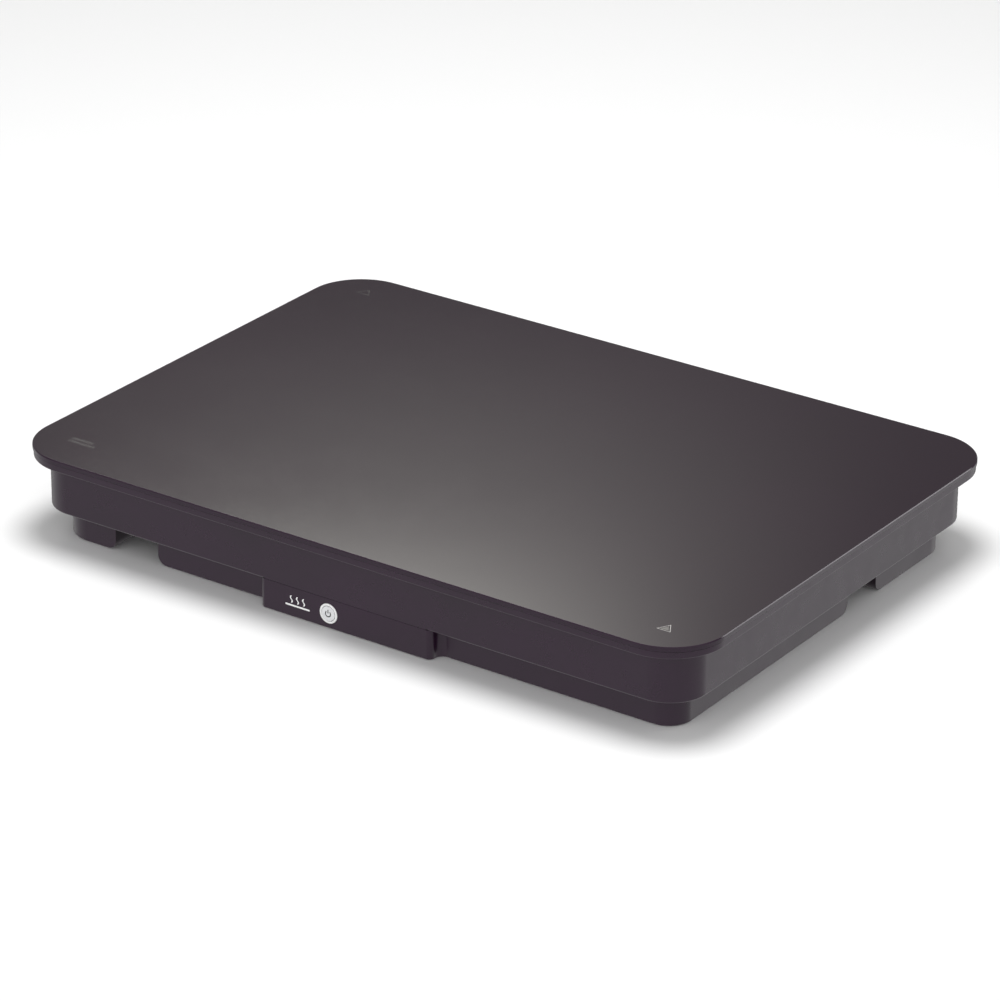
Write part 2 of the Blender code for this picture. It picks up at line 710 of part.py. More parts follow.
# ---- heater stack ----
def make_heater_stack():
    make("heat_spreader", aluminium, plate(SPREADER, (SPREADER_BOTTOM, SPREADER_TOP),
                                           radius=SPREADER_RADIUS, segments=5))
    make("heater_mat", mat_orange, plate(HEATER, (HEATER_BOTTOM, HEATER_TOP),
                                         radius=HEATER_RADIUS, segments=5))
    board = make("insulation_board", fibre, plate(INSULATION, (INSULATION_BOTTOM, INSULATION_TOP),
                                                  radius=INSULATION_RADIUS, segments=5))
    cut(board, "insulation_pockets",
        *[rod(radius, THROUGH, spot, steps=14) for spot, radius in POCKET_RADIUS.items()])
    make_shield()
    make_sensor_and_cutout()


def make_shield():
    shield = make("heat_shield", zinc, plate(SHIELD, (SHIELD_BOTTOM, SHIELD_BOTTOM + SHIELD_LIP),
                                             radius=SHIELD_RADIUS, segments=5))
    cut(shield, "shield_inside", plate(grown(SHIELD, -SHIELD_SHEET), (SHIELD_TOP, HEIGHT),
                                       radius=SHIELD_RADIUS - SHIELD_SHEET, segments=5))
    cut(shield, "shield_holes",
        *rods(EARTH_HOLE, THROUGH, [*SHIELD_SCREWS.values(), EARTH_XY]),
        *rods(LEAD_HOLE, THROUGH, POCKET_RADIUS, steps=12))


def make_sensor_and_cutout():
    sensor = [(0, 0), (0.003, 0), (0.003, 0.003), (0.0065, 0.003), (0.0065, SENSOR_HEIGHT),
              (0, SENSOR_HEIGHT)]
    cutout = [(0, 0), (0.0055, 0), (0.0055, 0.004), (0.0082, 0.004), (0.0082, CUTOUT_HEIGHT),
              (0, CUTOUT_HEIGHT)]
    make("temperature_sensor", brass, turned(sensor, steps=16),
         origin=(*SENSOR_XY, INSULATION_TOP - SENSOR_HEIGHT))
    make("thermal_cutout", zinc, turned(cutout, steps=16),
         origin=(*CUTOUT_XY, INSULATION_TOP - CUTOUT_HEIGHT))


# ---- electronics ----
def make_boards():
    board = make("power_board", board_green,
                 block(POWER_BOARD_X, POWER_BOARD_Y, (POWER_BOARD_Z, POWER_BOARD_Z + BOARD_THICK)))
    hole = STAKE_PIN + GAP
    cut(board, "power_board_holes", *rods(hole, THROUGH, power_board_stakes(), steps=12))
    y = (CONTROL_BOARD_Y, CONTROL_BOARD_Y + BOARD_THICK)
    control = make("control_board", board_green, block(CONTROL_BOARD_X, y, CONTROL_BOARD_Z))
    cut(control, "control_board_holes",
        *rods(hole, (y[0] - ROOT, y[1] + ROOT), control_board_stakes(), "Y", 12))
    side, height, x = 0.003, 0.0018, BUTTON_X + 0.0075
    make("indicator_led", led_white,
         block((x, x + side), (y[0] - GAP - height, y[0] - GAP),
               (BUTTON_Z - side / 2, BUTTON_Z + side / 2)))


def on_board(part, **options):
    """A block that stands on the power board."""
    x, y, height = part
    return block(x, y, (ON_BOARD, ON_BOARD + height), **options)


def make_terminals(name, part, clamps):
    """A terminal block, with a well over each clamp screw."""
    made = make(name, part_green, on_board(part, edge=MOULD_EASE, edge_segments=1, edges="top"))
    top = ON_BOARD + part[2]
    cut(made, name + "_wells",
        *rods(CLAMP_RADIUS, (top - CLAMP_DEPTH, top + ROOT), clamps, steps=12))


def make_board_parts():
    corner = {"radius": MOULD_CORNER, "segments": 1}
    make_terminals("mains_terminals", MAINS_TERMINALS, MAINS_CLAMPS)
    make_terminals("heater_terminals", HEATER_TERMINALS, HEATER_CLAMPS)
    make("relay", black_part, on_board(RELAY, edge=MOULD_EASE, edge_segments=1, edges="top", **corner))
    make("mains_capacitor", cap_yellow, on_board(CAPACITOR, **corner))
    make("controller_chip", black_part, on_board(CHIP))
    make("signal_connector", cream, on_board(SIGNAL_SOCKET))
    core = make("supply_transformer", black_part, on_board(TRANSFORMER))
    x, y, z = WINDING
    join(core, "transformer_winding",
         block(x, y, (ON_BOARD + z[0], ON_BOARD + z[1]), radius=0.003, segments=2))
    can, shoulder, height = 0.0062, 0.0055, 0.020
    profile = [(0, 0), (can, 0), (can, height - MOULD_EASE), (shoulder, height), (0, height)]
    make("bulk_capacitor", part_blue, turned(profile, steps=16), origin=(*BULK_XY, ON_BOARD))
    make("fuse", led_white,
         rod(0.0026, FUSE_X, (FUSE_YZ[0], ON_BOARD + FUSE_YZ[1]), "X", 14))


def at_inlet(shape, y=0.0):
    return moved(shape, (INLET_X, y, INLET_Z))


def centred(size, y, spot=(0, 0)):
    """A block with its middle at spot in X and Z, measured from the inlet's axis."""
    x, z = spot
    return at_inlet(block((x - size[0] / 2, x + size[0] / 2), y,
                          (z - size[1] / 2, z + size[1] / 2)))


def inlet_screw_holes(y):
    return rods(PILOT, y, [(-INLET_SCREW, 0), (INLET_SCREW, 0)], "Y")


def make_inlet():
    """Three-pole inlet: flanged body with a socket, and three blades through its back wall."""
    body = make("mains_inlet", black_part, centred(INLET_BODY, (INLET_REAR, REAR + ROOT)))
    join(body, "inlet_flange", centred(INLET_FLANGE, (REAR + GAP, INLET_FACE)))
    width, height = (side / 2 for side in INLET_SOCKET)
    slope = SOCKET_CORNER
    mouth = [(-width, -height), (width, -height), (width, height - slope),
             (width - slope, height), (slope - width, height), (-width, height - slope)]
    cut(body, "inlet_socket", at_inlet(side_prism(mouth, (SOCKET_FLOOR, INLET_FACE + 0.002))))
    back = (INLET_REAR - 0.002, SOCKET_FLOOR + 0.002)
    cut(body, "inlet_slots",
        *[centred(BLADE_SLOT, back, spot) for spot in BLADES.values()],
        *[at_inlet(hole) for hole in inlet_screw_holes((REAR - 0.002, INLET_FACE + 0.002))])
    for pole, spot in BLADES.items():
        make(pole + "_blade", brass, centred(BLADE, (BLADE_END, INLET_FACE - BLADE_SET_BACK), spot))


def make_earth_joint():
    """Ring terminal, screw and nut that bond the heat shield to earth."""
    x, y = EARTH_XY
    lug = make("earth_lug", brass, rod(LUG_RADIUS, (LUG_TOP - LUG_THICK, LUG_TOP), EARTH_XY, steps=14))
    join(lug, "lug_tail", block((x + LUG_RADIUS - 0.0005, x + LUG_END), (y - 0.0015, y + 0.0015),
                                (LUG_TOP - 0.0026, LUG_TOP - 0.0001)))
    cut(lug, "lug_hole", rod(EARTH_HOLE, THROUGH, EARTH_XY, steps=12))
    screw("earth_screw", EARTH_XY, SHIELD_TOP + GAP, EARTH_SCREW_TIP, SHIELD_HEAD, 0.0016)
    nut_top = LUG_TOP - LUG_THICK - GAP
    nut = make("earth_nut", steel, rod(0.0036, (nut_top - NUT_HEIGHT, nut_top), EARTH_XY, steps=6))
    cut(nut, "earth_nut_bore", rod(CLEARANCE, THROUGH, EARTH_XY, steps=12))


# ---- wiring: each route's points are places that the lead is led through ----
def make_mains_wires():
    start = BLADE_END - 2 * GAP
    low, high = INLET_Z + BLADES["live"][1], INLET_Z + BLADES["earth"][1]
    entry, height = MAINS_TERMINALS[1][1] + GAP, ON_BOARD + 0.005
    for name, look, pole, clamp in (("live_wire", wire_brown, "live", MAINS_CLAMPS[0]),
                                    ("neutral_wire", wire_blue, "neutral", MAINS_CLAMPS[2])):
        x, end = INLET_X + BLADES[pole][0], clamp[0]
        wire(name, look, [(x, start, low), (x, start - 0.006, low),
                          (end, entry + 0.010, height + 0.008), (end, entry + 0.004, height),
                          (end, entry, height)], 0.0012)
    lug_x, lug_y = EARTH_XY[0] + LUG_END + GAP, EARTH_XY[1]
    lug_z = LUG_TOP - 0.00135
    wire("earth_wire", wire_green, [(INLET_X, start, high), (INLET_X, start - 0.006, high),
                                    (INLET_X - 0.008, start - 0.009, high + 0.004),
                                    (INLET_X - 0.024, start, high + 0.007),
                                    (lug_x + 0.010, lug_y - 0.001, lug_z),
                                    (lug_x, lug_y, lug_z)], 0.0011)


def make_heater_leads():
    x, y = TERMINAL_XY
    top, entry, height = HEATER_BOTTOM - GAP, HEATER_TERMINALS[1][0] - GAP, ON_BOARD + 0.005
    for name, side in (("heater_lead_a", -1), ("heater_lead_b", 1)):
        near, end = x + side * 0.0022, x + side * 0.007
        wire(name, wire_white, [(near, y, top), (near, y, SHIELD_BOTTOM), (near, y + 0.001, 0.044),
                                (end, y + 0.016, 0.026), (end, y + 0.032, height),
                                (end, entry, height)], 0.0013)


def make_sensor_leads():
    bottom = INSULATION_TOP - SENSOR_HEIGHT - GAP
    wire("sensor_lead", black_part, [(*SENSOR_XY, bottom), (*SENSOR_XY, SHIELD_BOTTOM),
                                     (0.001, 0.002, 0.044), (0.018, 0.030, 0.024),
                                     (0.032, 0.078, 0.0170), (0.032, 0.0815, ON_BOARD + GAP)], 0.0011)
    bottom = INSULATION_TOP - CUTOUT_HEIGHT - GAP
    for name, side in (("cutout_lead_a", -1), ("cutout_lead_b", 1)):
        near, far = CUTOUT_XY[0] + side * 0.0022, CUTOUT_XY[0] + side * 0.0052
        wire(name, wire_white, [(near, 0, bottom), (near, 0, SHIELD_BOTTOM), (near, 0.001, 0.044),
                                (near + side * 0.002, 0.020, 0.030), (far, 0.045, 0.022),
                                (far, 0.086, 0.022), (far, 0.090, ON_BOARD + GAP)], 0.0012)


def make_signal_cable():
    back = CONTROL_BOARD_Y + BOARD_THICK + GAP
    socket = SIGNAL_SOCKET[1][0] - GAP
    wire("signal_cable", wire_grey, [(-0.029, back, 0.0108), (-0.029, back + 0.008, 0.0090),
                                     (-0.027, -0.150, 0.0062), (-0.010, -0.070, 0.0062),
                                     (0.045, 0.020, 0.0062), (0.077, 0.058, 0.0085),
                                     (0.077, 0.066, 0.0135), (0.077, socket, 0.0144)], 0.0014)


clear_scene()
pieces = new_collection("warming_plate")
cutters = new_collection("cutters")

black_glass = new_material("black_glass", (0.020, 0.018, 0.019), 0.12)
body_plastic = new_material("body_plastic", (0.040, 0.034, 0.038), 0.42)
base_plastic = new_material("base_plastic", (0.036, 0.031, 0.035), 0.48)
silicone = new_material("silicone", (0.015, 0.015, 0.015), 0.60)
foot_rubber = new_material("foot_rubber", (0.020, 0.020, 0.020), 0.80)
ring_white = new_material("ring_white", (0.85, 0.85, 0.86), 0.30)
cap_grey = new_material("cap_grey", (0.68, 0.69, 0.72), 0.35)
steel = new_material("steel", (0.60, 0.60, 0.62), 0.35, 1.0)
zinc = new_material("zinc", (0.62, 0.64, 0.66), 0.45, 1.0)
aluminium = new_material("aluminium", (0.78, 0.78, 0.80), 0.35, 1.0)
brass = new_material("brass", (0.78, 0.60, 0.28), 0.30, 1.0)
mat_orange = new_material("mat_orange", (0.62, 0.20, 0.06), 0.60)
fibre = new_material("fibre", (0.72, 0.68, 0.58), 0.95)
board_green = new_material("board_green", (0.03, 0.18, 0.07), 0.45)
part_green = new_material("part_green", (0.05, 0.35, 0.16), 0.40)
part_blue = new_material("part_blue", (0.05, 0.10, 0.30), 0.35)
cap_yellow = new_material("cap_yellow", (0.75, 0.60, 0.10), 0.45)
cream = new_material("cream", (0.80, 0.76, 0.66), 0.50)
led_white = new_material("led_white", (0.85, 0.85, 0.80), 0.20)
black_part = new_material("black_part", (0.025, 0.025, 0.027), 0.45)
wire_brown = new_material("wire_brown", (0.22, 0.10, 0.05), 0.45)
wire_blue = new_material("wire_blue", (0.05, 0.15, 0.50), 0.45)
wire_green = new_material("wire_green", (0.25, 0.50, 0.08), 0.45)
wire_white = new_material("wire_white", (0.80, 0.80, 0.78), 0.50)
wire_grey = new_material("wire_grey", (0.35, 0.35, 0.36), 0.50)

make_glass()
make_gasket()
make_upper_housing()
make_base_tray()
make_feet()
make_screws()
make_button()
make_heater_stack()
make_boards()
make_board_parts()
make_inlet()
make_earth_joint()
make_mains_wires()
make_heater_leads()
make_sensor_leads()
make_signal_cable()
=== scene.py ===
import json
import math

import bmesh
import bpy
from mathutils import Matrix, Vector


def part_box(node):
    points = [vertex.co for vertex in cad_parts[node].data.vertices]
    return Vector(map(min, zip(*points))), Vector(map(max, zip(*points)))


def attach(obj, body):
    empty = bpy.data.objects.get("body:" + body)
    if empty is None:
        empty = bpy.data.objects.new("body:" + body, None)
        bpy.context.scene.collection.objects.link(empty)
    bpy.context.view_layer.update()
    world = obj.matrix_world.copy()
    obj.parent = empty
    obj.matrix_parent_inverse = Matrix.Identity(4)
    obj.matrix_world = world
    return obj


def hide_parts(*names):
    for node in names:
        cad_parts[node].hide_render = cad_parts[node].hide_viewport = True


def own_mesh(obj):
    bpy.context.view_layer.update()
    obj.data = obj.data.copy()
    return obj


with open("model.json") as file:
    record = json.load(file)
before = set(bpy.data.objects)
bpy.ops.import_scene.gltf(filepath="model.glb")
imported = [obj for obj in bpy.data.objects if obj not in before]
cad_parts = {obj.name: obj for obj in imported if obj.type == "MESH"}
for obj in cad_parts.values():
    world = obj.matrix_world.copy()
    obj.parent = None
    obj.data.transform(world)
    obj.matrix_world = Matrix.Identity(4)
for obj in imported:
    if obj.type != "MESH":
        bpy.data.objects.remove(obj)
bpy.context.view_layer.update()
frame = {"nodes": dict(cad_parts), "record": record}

# ---- sizes that the nodes' boxes don't give, in metres ----
GAP = 0.0003
WALL = 0.0025
GLASS_RADIUS = 0.045
GLASS_ARRISES = (0.0006, 0.0003)  # top and bottom
GASKET_WIDTH = 0.006
GASKET_RADIUS = 0.039
GROOVE = (0.0008, 0.0080)  # the gasket's groove: its sides, out from the body's outer face
GROOVE_DEPTH = 0.0015
RIM_RADIUS = 0.04425
RIM_HEIGHT = 0.0051
RIM_LIP = 0.00225
RIM_HOLLOW = 0.0018
RIM_FILLETS = (0.0003, 0.0007)  # top and bottom
RIM_OVERHANG = 0.01265
BODY_RADIUS = 0.0305
BODY_FILLET = 0.0012
LEDGE = (0.0316, 0.010)  # how far the opening's edge is in from the body's wall, and its radius
BASE_RADIUS = 0.0189
BASE_ROUNDER = 0.028  # front left and rear right corners
BASE_FILLET = 0.0007
PANEL_HALF = 0.076
PANEL_EDGE = 0.0045
PANEL_COVE = 0.006
SEAM = 0.00015  # open line between the body's lower edge and the panel
CRISP = 0.0001  # ease of an edge that looks square
NOTCH_WIDTH = 0.040
NOTCH_DEPTH = 0.050
NOTCH_ROUND = 0.0075
FRONT_NOTCH_X = -0.1993
SIDE_NOTCH_Y = 0.0595
SHIELD_POST = 0.0040
BASE_POST = 0.0045
BASE_POST_TOP = 0.0380
PILOT = 0.0018
BOSS = 0.0065
WELL = (0.0046, 0.0040)  # radius of a screw's well at its mouth and above it
WELL_SEAT = 0.0140
FOOT_RECESS = (0.0093, 0.0010)  # radius and depth
SLOT_WIDTH = 0.003
RING = (0.0061, 0.0078)  # bore and outer radius of the button's ring
RING_HOLE = 0.0081
INLET_BODY = (0.0137, 0.0102)  # half sizes of the part that goes through the wall
INLET_FLANGE = (0.0250, 0.0115)
INLET_SCREW_REACH = 0.020
INLET_HOLE = 0.0018
PRINT = 0.00002  # how far a printed mark stands out

CORNER_STEPS = 20
ARC_STEPS = 5
TURN_STEPS = 64
SMOOTH = math.radians(32)  # steeper edges are shaded sharp
OVERLAP = 0.001  # how far a shape reaches into what it joins, or past what it cuts
CLEAR = 0.002  # a cutter's longer reach
MM = 0.001

# ---- places, from the frame ----
GLASS_LOW, GLASS_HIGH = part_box("glass_plate")
HOUSING_LOW, HOUSING_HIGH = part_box("upper_housing")
BASE_LOW, BASE_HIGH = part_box("base_tray")
BEZEL_LOW, BEZEL_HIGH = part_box("button_bezel")
CAP_LOW, CAP_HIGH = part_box("button_cap")
INLET_LOW, INLET_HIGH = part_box("mains_inlet")

BODY = (HOUSING_HIGH.x - RIM_OVERHANG, HOUSING_HIGH.y - RIM_OVERHANG)
FRONT = -BODY[1]
RIM_BOTTOM = HOUSING_HIGH.z - RIM_HEIGHT
LEDGE_TOP = HOUSING_LOW.z + WALL
BASE = (BASE_HIGH.x, BASE_HIGH.y)
FLOOR_TOP = BASE_LOW.z + WALL
NOTCH_TOP = BASE_HIGH.z - WALL
BUTTON_X = (CAP_LOW.x + CAP_HIGH.x) / 2
BUTTON_Z = (CAP_LOW.z + CAP_HIGH.z) / 2
BUTTON = (BUTTON_X, 0, BUTTON_Z)
INLET_X = (INLET_LOW.x + INLET_HIGH.x) / 2
INLET_Z = (INLET_LOW.z + INLET_HIGH.z) / 2


# ---- meshes ----
def ring(half_x, half_y, radius, z, steps=CORNER_STEPS):
    """Points round a level rectangle with rounded corners."""
    points = []
    for quarter, (sx, sy) in enumerate(((1, 1), (-1, 1), (-1, -1), (1, -1))):
        for k in range(steps + 1):
            angle = math.radians(90 * (quarter + k / steps))
            points.append((sx * (half_x - radius) + radius * math.cos(angle),
                           sy * (half_y - radius) + radius * math.sin(angle), z))
    return points


def loft(bm, rings, closed=False):
    """Skins rings that have the same number of points. The ends are capped unless it closes."""
    loops = [[bm.verts.new(point) for point in points] for points in rings]
    pairs = list(zip(loops, loops[1:]))
    if closed:
        pairs.append((loops[-1], loops[0]))
    for low, high in pairs:
        for k in range(len(low)):
            n = (k + 1) % len(low)
            bm.faces.new((low[k], low[n], high[n], high[k]))
    if not closed:
        bm.faces.new(list(reversed(loops[0])))
        bm.faces.new(loops[-1])


def arc(centre, radius, start, end, steps=ARC_STEPS):
    angles = [math.radians(start + (end - start) * k / steps) for k in range(steps + 1)]
    return [(centre[0] + radius * math.cos(a), centre[1] + radius * math.sin(a)) for a in angles]


def turned(bm, profile, centre=(0, 0, 0), axis="Z", steps=TURN_STEPS):
    """A solid of revolution. profile is (radius, height) from one end of the axis to the other."""
    turn = {"Z": Matrix.Identity(3), "Y": Matrix.Rotation(-math.pi / 2, 3, "X")}[axis]
    loops = []
    for radius, height in profile:
        count = steps if radius > 0 else 1
        points = [(radius * math.cos(math.tau * k / steps), radius * math.sin(math.tau * k / steps),
                   height) for k in range(count)]
        loops.append([bm.verts.new(turn @ Vector(p) + Vector(centre)) for p in points])
    for low, high in zip(loops, loops[1:]):
        for k in range(steps):
            n = (k + 1) % steps
            corners = [low[k % len(low)], low[n % len(low)], high[n % len(high)], high[k % len(high)]]
            bm.faces.new(list(dict.fromkeys(corners)))


def prism(bm, outline, low, high, axis="Z", centre=(0, 0, 0)):
    """An outline drawn out along an axis. On Y its points are X and Z, on X they are Y and Z."""
    place = {"Z": lambda p, q, r: (p, q, r), "Y": lambda p, q, r: (p, r, q),
             "X": lambda p, q, r: (r, p, q)}[axis]
    ends = [[Vector(place(p, q, r)) + Vector(centre) for p, q in outline] for r in (low, high)]
    loft(bm, ends)


def rounded_outline(half_x, half_y, radius, steps=6):
    return [point[:2] for point in ring(half_x, half_y, radius, 0, steps)]


def mesh_from(name, *shapes):
    """A mesh from shapes, each a function that adds itself to a bmesh."""
    bm = bmesh.new()
    for shape in shapes:
        shape(bm)
    bmesh.ops.recalc_face_normals(bm, faces=bm.faces)
    mesh = bpy.data.meshes.new(name)
    bm.to_mesh(mesh)
    bm.free()
    return mesh


def blank(name, *shapes):
    made = bpy.data.objects.new(name, mesh_from(name, *shapes))
    bpy.context.scene.collection.objects.link(made)
    return made


def boolean(target, operation, *shapes):
    """Cuts or joins shapes, and makes the result the target's mesh."""
    combine(target, operation, blank(target.name + "_tool", *shapes))


def combine(target, operation, tool):
    """Cuts or joins another object, which is used up."""
    step = target.modifiers.new("boolean", "BOOLEAN")
    step.operation = operation
    step.solver = "EXACT"
    step.object = tool
    settle(target)
    bpy.data.objects.remove(tool)


def settle(target):
    """Makes what the modifiers give the object's own mesh."""
    graph = bpy.context.evaluated_depsgraph_get()
    graph.update()
    result = bpy.data.meshes.new_from_object(target.evaluated_get(graph))
    target.modifiers.clear()
    target.data = result


def bevel(target, width, segments=3, angle=40):
    step = target.modifiers.new("bevel", "BEVEL")
    step.width = width
    step.segments = segments
    step.limit_method = "ANGLE"
    step.angle_limit = math.radians(angle)
    step.use_clamp_overlap = True
    settle(target)


def finish_piece(made, slot, *nodes, look=None, body="housing", edge_look=None):
    """Shades the piece, gives it its look, hides the nodes that it stands for and hangs it on what it rides
    on.
    """
    made.data.materials.clear()
    made.data.materials.append(look or LOOKS[slot])
    if edge_look:
        made.data.materials.append(edge_look)
    made.data.shade_smooth()
    made.data.set_sharp_from_angle(angle=SMOOTH)
    normals = made.modifiers.new("normals", "WEIGHTED_NORMAL")
    normals.keep_sharp = True
    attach(made, body)
    if nodes:
        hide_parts(*nodes)


def spots(prefix):
    """Where the nodes whose names start with the prefix stand, seen from above."""
    boxes = [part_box(name) for name in frame["nodes"] if name.startswith(prefix)]
    middles = [(low + high) / 2 for low, high in boxes]
    return [(middle.x, middle.y, 0) for middle in middles]


# ---- materials ----
class Wiring:
    """A node tree under construction."""

    def node(self, kind, **values):
        made = self.tree.nodes.new(kind)
        for key, value in values.items():
            setattr(made, key, value)
        return made

    def link(self, source, target):
        self.tree.links.new(source, target)


class Look(Wiring):
    """A material under construction: its node tree and its shader."""

    def __init__(self, name, colour, roughness, **sockets):
        self.material = bpy.data.materials.new(name)
        self.material.use_nodes = True
        self.tree = self.material.node_tree
        self.shader = self.tree.nodes["Principled BSDF"]
        self.colour = colour
        self.set("Base Color", (*colour, 1))
        self.set("Roughness", roughness)
        for socket, value in sockets.items():
            self.set(socket.replace("_", " "), value)
        self.places = self.node("ShaderNodeTexCoord").outputs["Object"]

    def set(self, socket, value):
        self.shader.inputs[socket].default_value = value

    def stretched(self, scale):
        """The object's coordinates, scaled along each axis."""
        made = self.node("ShaderNodeMapping")
        self.link(self.places, made.inputs["Vector"])
        made.inputs["Scale"].default_value = scale
        return made.outputs["Vector"]

    def noise(self, size, detail=3.0, rough=0.55, places=None):
        """Noise whose features have about the given size in metres."""
        made = self.node("ShaderNodeTexNoise")
        self.link(places or self.places, made.inputs["Vector"])
        made.inputs["Scale"].default_value = 1 / size
        made.inputs["Detail"].default_value = detail
        made.inputs["Roughness"].default_value = rough
        return made.outputs["Fac"]

    def cells(self, size):
        """Cells of about the given size in metres: the distance to each one's middle."""
        made = self.node("ShaderNodeTexVoronoi", feature="F1")
        self.link(self.places, made.inputs["Vector"])
        made.inputs["Scale"].default_value = 1 / size
        return made.outputs["Distance"]

    def ranged(self, source, low, high, start=0.3, end=0.7):
        """low where the source is at start, high where it is at end."""
        made = self.node("ShaderNodeMapRange")
        self.link(source, made.inputs["Value"])
        for socket, value in zip(("From Min", "From Max", "To Min", "To Max"), (start, end, low, high)):
            made.inputs[socket].default_value = value
        return made.outputs["Result"]

    def mixed(self, factor, first, second):
        """One colour or the other; each is a colour or a socket."""
        made = self.node("ShaderNodeMix", data_type="RGBA")
        self.link(factor, made.inputs[0])
        for socket, value in ((made.inputs[6], first), (made.inputs[7], second)):
            if isinstance(value, bpy.types.NodeSocket):
                self.link(value, socket)
            else:
                socket.default_value = (*value, 1)
        return made.outputs[2]

    def paint(self, colour):
        self.link(colour, self.shader.inputs["Base Color"])

    def mottled(self, source, dark, light, start=0.3, end=0.7):
        """The look's own colour, made darker where the source is low and lighter where it is high."""
        return self.mixed(self.ranged(source, 0, 1, start, end),
                          shade(self.colour, dark), shade(self.colour, light))

    def roughen(self, source, low, high, start=0.3, end=0.7):
        self.link(self.ranged(source, low, high, start, end), self.shader.inputs["Roughness"])

    def relief(self, height, depth, strength):
        """Bump from a height between 0 and 1, of the given depth in metres."""
        made = self.node("ShaderNodeBump")
        made.inputs["Strength"].default_value = strength
        made.inputs["Distance"].default_value = depth
        self.link(height, made.inputs["Height"])
        self.link(made.outputs["Normal"], self.shader.inputs["Normal"])


def shade(colour, by):
    return tuple(min(1.0, c * by) for c in colour)


def moulded(name, colour, roughness, grain=0.0004, depth=0.00001, level=0.5):
    """Moulded plastic: fine spark-eroded grain, slow changes of sheen and a trace of dust."""
    look = Look(name, colour, roughness, Specular_IOR_Level=level)
    look.paint(look.mottled(look.noise(0.060, 4), 0.9, 1.12))
    look.roughen(look.noise(0.018, 5), roughness - 0.03, roughness + 0.05)
    look.relief(look.noise(grain, 2), depth, 0.6)
    return look.material


def glossy(name, colour, roughness, level=0.5):
    """Polished moulding: slight unevenness from the tool and faint scuffs."""
    look = Look(name, colour, roughness, Specular_IOR_Level=level, Coat_Weight=0.2, Coat_Roughness=0.12)
    look.paint(look.mottled(look.noise(0.006, 3), 0.96, 1.03))
    look.roughen(look.noise(0.002, 5), roughness - 0.04, roughness + 0.08)
    look.relief(look.noise(0.0012, 2), 0.000006, 0.5)
    return look.material


def black_glass(name, colour):
    """Ceramic glass printed black: deep gloss, faint smudges and a few specks of dust."""
    look = Look(name, colour, 0.05, IOR=1.5)
    look.paint(look.mottled(look.noise(0.12, 3), 0.95, 1.1))
    smudges = look.node("ShaderNodeMath", operation="MULTIPLY")
    look.link(look.noise(0.045, 4), smudges.inputs[0])
    look.link(look.noise(0.004, 4), smudges.inputs[1])
    look.roughen(smudges.outputs[0], 0.052, 0.066, 0.18, 0.36)
    return look.material


def ground_edge(name, colour):
    """The glass's ground and polished edge: fine scratches along it."""
    look = Look(name, colour, 0.16, IOR=1.5, Specular_IOR_Level=0.45)
    grind = look.noise(0.0006, 4, places=look.stretched((1, 1, 8)))
    look.paint(look.mottled(grind, 1, 1.5))
    look.roughen(grind, 0.12, 0.22)
    look.relief(grind, 0.000004, 0.5)
    return look.material


def rubber(name, colour, roughness):
    """Rubber or silicone: a fine grain, and patches that handling has made paler."""
    look = Look(name, colour, roughness, Specular_IOR_Level=0.35)
    fine = look.noise(0.0006, 3)
    look.paint(look.mottled(look.noise(0.010, 4), 0.8, 1.4))
    look.roughen(fine, roughness - 0.06, roughness + 0.08)
    look.relief(fine, 0.00002, 0.6)
    return look.material


def metal(name, colour, roughness, stretch=(1, 1, 1)):
    """Sheet or turned metal: marks drawn out along the stretched axes, and slight tarnish."""
    look = Look(name, colour, roughness, Metallic=1.0)
    marks = look.noise(0.0015, 5, 0.65, look.stretched(stretch))
    look.paint(look.mottled(look.noise(0.012, 4), 0.86, 1.06))
    look.roughen(marks, roughness - 0.07, roughness + 0.10)
    look.relief(marks, 0.000006, 0.6)
    return look.material


def spangled(name, colour):
    """Galvanised sheet: flat crystals of slightly different brightness."""
    look = Look(name, colour, 0.4, Metallic=1.0)
    crystals = look.cells(0.006)
    look.paint(look.mottled(crystals, 0.80, 1.08, 0.1, 0.8))
    look.roughen(crystals, 0.30, 0.52, 0.1, 0.8)
    look.relief(look.noise(0.002, 4), 0.000006, 0.4)
    return look.material


def fibre(name, colour):
    """Pressed mineral fibre: matted threads and darker flecks."""
    look = Look(name, colour, 0.95, Specular_IOR_Level=0.2)
    threads = look.noise(0.0012, 6, 0.7, look.stretched((1, 0.25, 1)))
    look.paint(look.mottled(threads, 0.72, 1.08))
    look.roughen(threads, 0.85, 1.0)
    look.relief(threads, 0.00025, 0.8)
    return look.material


def circuit_board(name, colour):
    """Circuit board: green mask over a fine glass weave."""
    look = Look(name, colour, 0.35, Coat_Weight=0.4, Coat_Roughness=0.2)
    weave = look.node("ShaderNodeTexChecker")
    look.link(look.places, weave.inputs["Vector"])
    weave.inputs["Scale"].default_value = 1 / 0.0012
    look.paint(look.mixed(weave.outputs["Fac"], colour, shade(colour, 1.25)))
    look.roughen(look.noise(0.004, 4), 0.28, 0.44)
    look.relief(look.noise(0.0008, 3), 0.00001, 0.5)
    return look.material


def heating_mat(name, colour):
    """Silicone heating mat: the etched foil's tracks show as raised bands."""
    look = Look(name, colour, 0.5, Specular_IOR_Level=0.4)
    bands = look.node("ShaderNodeTexWave", wave_type="BANDS", bands_direction="X", wave_profile="SIN")
    look.link(look.places, bands.inputs["Vector"])
    bands.inputs["Scale"].default_value = 1 / (math.tau * 0.0015)
    look.paint(look.mixed(bands.outputs["Fac"], shade(colour, 0.8), shade(colour, 1.15)))
    look.roughen(look.noise(0.001, 4), 0.42, 0.60)
    look.relief(bands.outputs["Fac"], 0.00015, 0.8)
    return look.material


